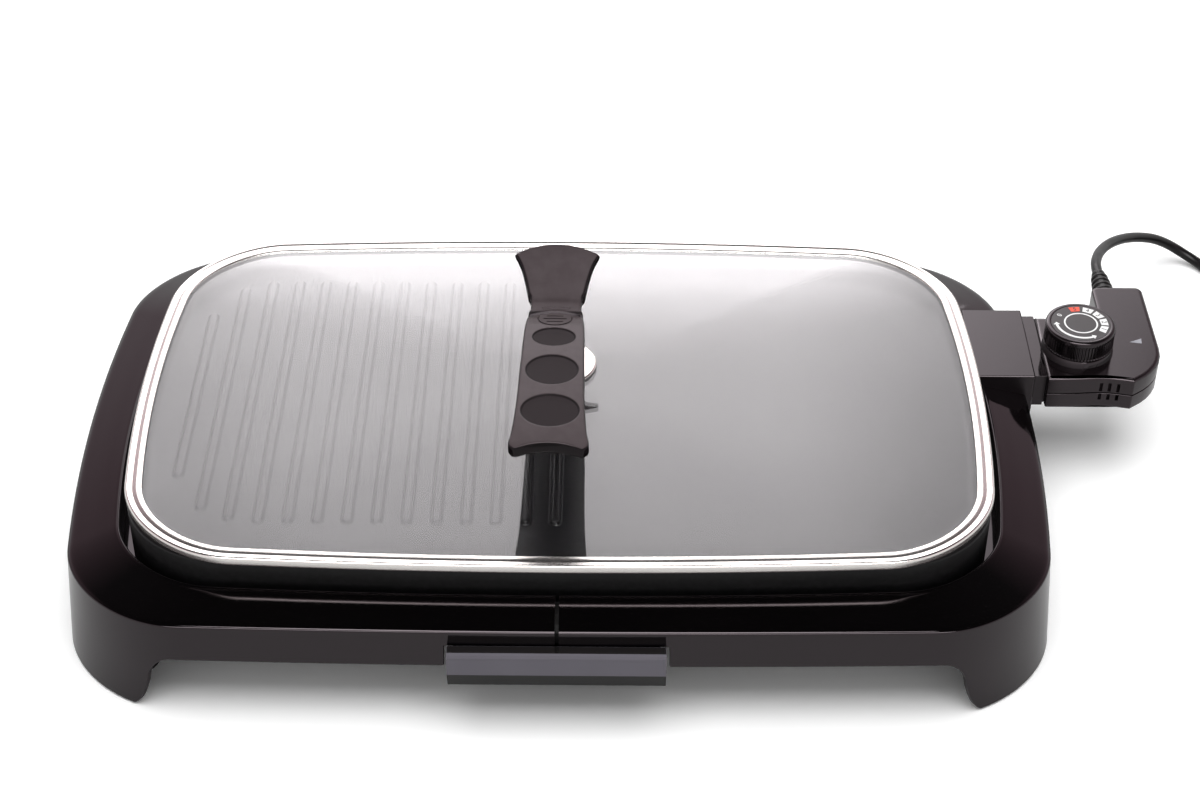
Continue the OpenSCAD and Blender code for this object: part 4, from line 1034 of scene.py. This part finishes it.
# Plain numbers, made a mesh and laid on the blocks with their tops outwards
def addNumbers():
    r = (dial["block"][0] + dial["block"][1]) / 2
    height = dialTop + dial["thick"] + dial["numberLift"]
    for angle, number in dial["blocks"]:
        letters = settle(
            bpy.data.curves.new("number" + number, "FONT"), body=number, size=dial["numberHeight"] / 1000,
            align_x="CENTER", align_y="CENTER", extrude=dial["numberThick"] / 1000, resolution_u=4)
        maker = addObject("numberMaker", letters)
        mesh = finishedMesh(maker)
        bpy.data.objects.remove(maker)
        at = toFrame((*onCircle(r, [angle], knob["at"])[0], height)).tolist()
        mesh.transform(Matrix.Translation(at) @ Matrix.Rotation(radians(angle - 90), 4, "Z"))
        mesh.materials.clear()
        mesh.materials.append(dialWhite if number == "0" else dialInk)
        piece = addObject("dial_number_" + number, mesh)
        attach(piece, "knob")


addNumbers()

# The pointer on the controller, a thin flat triangle
levels = [control["high"] + z for z in control["pointerHeights"]]
pointer = gridShell([atHeight(control["pointer"], z) for z in levels], capRows=True)
pointerMark = makePiece("pointer_triangle", [pointer], "controller", "pointer_grey")
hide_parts("pointer_mark")
print("controller made")

# The plainer parts keep their solids, with edges broken by this many millimetres
dressing = {
    "inner_black": {0.4: "seam_strips tray_rails", 0.5: "drip_tray"},
    "gloss_black": {0.8: "socket_block", 0.5: "controller_collar", 0: "knob_seat"},
    "pad_rubber": {0: "foot_pads"},
    "plate_coating": {0.5: "probe_sleeve"},
    "reflector_sheet": {0.2: "heat_reflector"},
    "element_sheath": {0: "heating_element"},
    "zinc_steel": {0.2: "strip_screws element_clips tray_screws handle_screw controller_screws knob_shaft",
                   0.15: "clamp_washer"},
    "ceramic": {0.4: "terminal_block thermostat"},
    "pin_steel": {0: "terminal_pins probe_rod plug_pins"},
    "contact_brass": {0.2: "contact_sockets"},
    "rim_steel": {0: "handle_disc"},
    "silicone": {0.2: "glass_washers"},
    "handle_plastic": {0: "handle_post", 0.25: "handle_cap"},
    "cord_pvc": {0: "coil_tie plug_relief", 0.3: "plug_body"},
}


def dressNode(name, width, finish):
    piece = nodes[name]
    piece.data.materials.clear()
    piece.data.materials.append(finish)
    settle(piece.modifiers.new("weld", "WELD"), merge_threshold=1e-6)
    if width:
        settle(piece.modifiers.new("flats", "DECIMATE"), decimate_type="DISSOLVE", angle_limit=radians(1))
        settle(piece.modifiers.new("edges", "BEVEL"), width=width / 1000, segments=3, limit_method="ANGLE",
               angle_limit=radians(35))


for slot, widths in dressing.items():
    for width, names in widths.items():
        for name in names.split():
            dressNode(name, width, finishes[slot])
dressNode("dial_plate", 0, dialFace)
dressNode("tray_handle", 0.6, trayGrip)
print("other parts dressed")


# The studio
studio = {
    "ambient": 0.62,  # the world as matt surfaces see it
    "lamp": {"size": (2.6, 2.4), "watts": 52, "place": (0.0, -0.2, 2.3)},
    "card": (-1.12, 1.02, 2.3, 0.95, 3.9),  # left, right, distance behind, low and high edge
    "cardGlow": [(0.0, 7.0), (0.07, 6.4), (0.14, 4.7), (0.22, 3.7), (0.30, 3.25), (0.47, 3.05),
                 (0.73, 2.8), (1.0, 0.7)],  # share of the height, glow
    # at the right and left side: how much glow is lost, and between what places
    "cardDims": [(3.5, 0.35, 1.0), (1.6, -1.1, -0.6)],
    "frontCard": (-1.3, 1.3, -1.9, 1.5, 5.0),
    "frontGlow": 8.0,
    "sky": [(0.0, shade(1)), (0.26, shade(1)), (0.40, shade(0.78, 0.66, 0.70)),
            (0.52, shade(0.56, 0.42, 0.46)), (0.64, shade(0.32, 0.235, 0.26)), (0.76, shade(0.04)),
            (0.97, shade(0))],  # from the level up, as gloss and glass see it
    "floor": 6,  # half its side in metres
    "floorSeen": 1.12,  # the floor's colour to the camera
    "floorMirrored": 0.62,  # and in gloss and glass
}


def addStage(name, corners, finish):
    mesh = bpy.data.meshes.new(name)
    mesh.from_pydata(corners, [], [(0, 1, 2, 3)])
    mesh.materials.append(finish)
    flat = addObject(name, mesh)
    return flat


# An upright sheet that glows for gloss and glass alone; its glow is a colour times a strength
def addCard(name, edges, sheet, glow, strength):
    left, right, away, low, high = edges
    finish = sheet.surface({"Color": glow, "Strength": strength}, "Emission")
    corners = [(left, away, low), (right, away, low), (right, away, high), (left, away, high)]
    settle(addStage(name, corners, finish), visible_diffuse=False, visible_camera=False)


def addLamp():
    look = studio["lamp"]
    wide, deep = look["size"]
    data = settle(bpy.data.lights.new("top", "AREA"), shape="RECTANGLE", size=wide, size_y=deep,
                  energy=look["watts"])
    lamp = settle(addObject("top", data), location=look["place"], visible_glossy=False,
                  visible_camera=False)
    lamp.rotation_euler.x = atan2(-look["place"][1], look["place"][2])  # towards the middle of the floor


def addWorld():
    scene.world = bpy.data.worlds.new("studio")
    sheet = NodeSheet(scene.world)
    seen = sheet.rays("Is Camera Ray", "Is Glossy Ray", "Is Transmission Ray")
    rise = sheet.part(sheet.add("TexCoord", output="Generated"), "Z")
    tint = sheet.mix(seen, shade(studio["ambient"]), sheet.ramp(rise, studio["sky"]))
    back = sheet.add("Background", {}, {"Color": tint})
    sheet.add("OutputWorld", {}, {"Surface": back})


# The floor is brighter to the camera alone, so it turns white and keeps the shadow
def addFloor():
    sheet = newSheet("paleFloor")
    tint = sheet.mix(sheet.noise(180, 2), shade(0.86), shade(0.88))
    mirrored = sheet.rays("Is Glossy Ray", "Is Transmission Ray")
    tint = sheet.mix(mirrored, tint, shade(studio["floorMirrored"]))
    tint = sheet.mix(sheet.rays("Is Camera Ray"), tint, shade(studio["floorSeen"]))
    finish = sheet.surface({"Color": tint}, "BsdfDiffuse")
    far = studio["floor"]
    addStage("floor", [(-far, -far, 0), (far, -far, 0), (far, far, 0), (-far, far, 0)], finish)


# A tall card behind, for the lid and the gloss to reflect; it dims upwards and to both sides
def addBackCard():
    sheet = newSheet("glowingCard")
    low, high = studio["card"][3:]
    along, rise = (sheet.part(sheet.coordinates(), axis) for axis in "XZ")
    most = studio["cardGlow"][0][1]
    stops = [(place, scaled((1, 0.965, 0.985), glow / most)) for place, glow in studio["cardGlow"]]
    (right, *rightEdge), (left, *leftEdge) = studio["cardDims"]
    fall = most - right * sheet.between(along, *rightEdge) - left * (1 - sheet.between(along, *leftEdge))
    glow = sheet.ramp((rise - low) / (high - low), stops)
    glow = sheet.add("VectorMath", {"operation": "SCALE"}, {0: glow, "Scale": fall})
    addCard("card", studio["card"], sheet, glow, 1)


addWorld()
addFloor()
addBackCard()
# a plain card above the camera gives the rounded edges their thin line
addCard("front_card", studio["frontCard"], newSheet("frontCard"), shade(1), studio["frontGlow"])
addLamp()
print("studio lit")
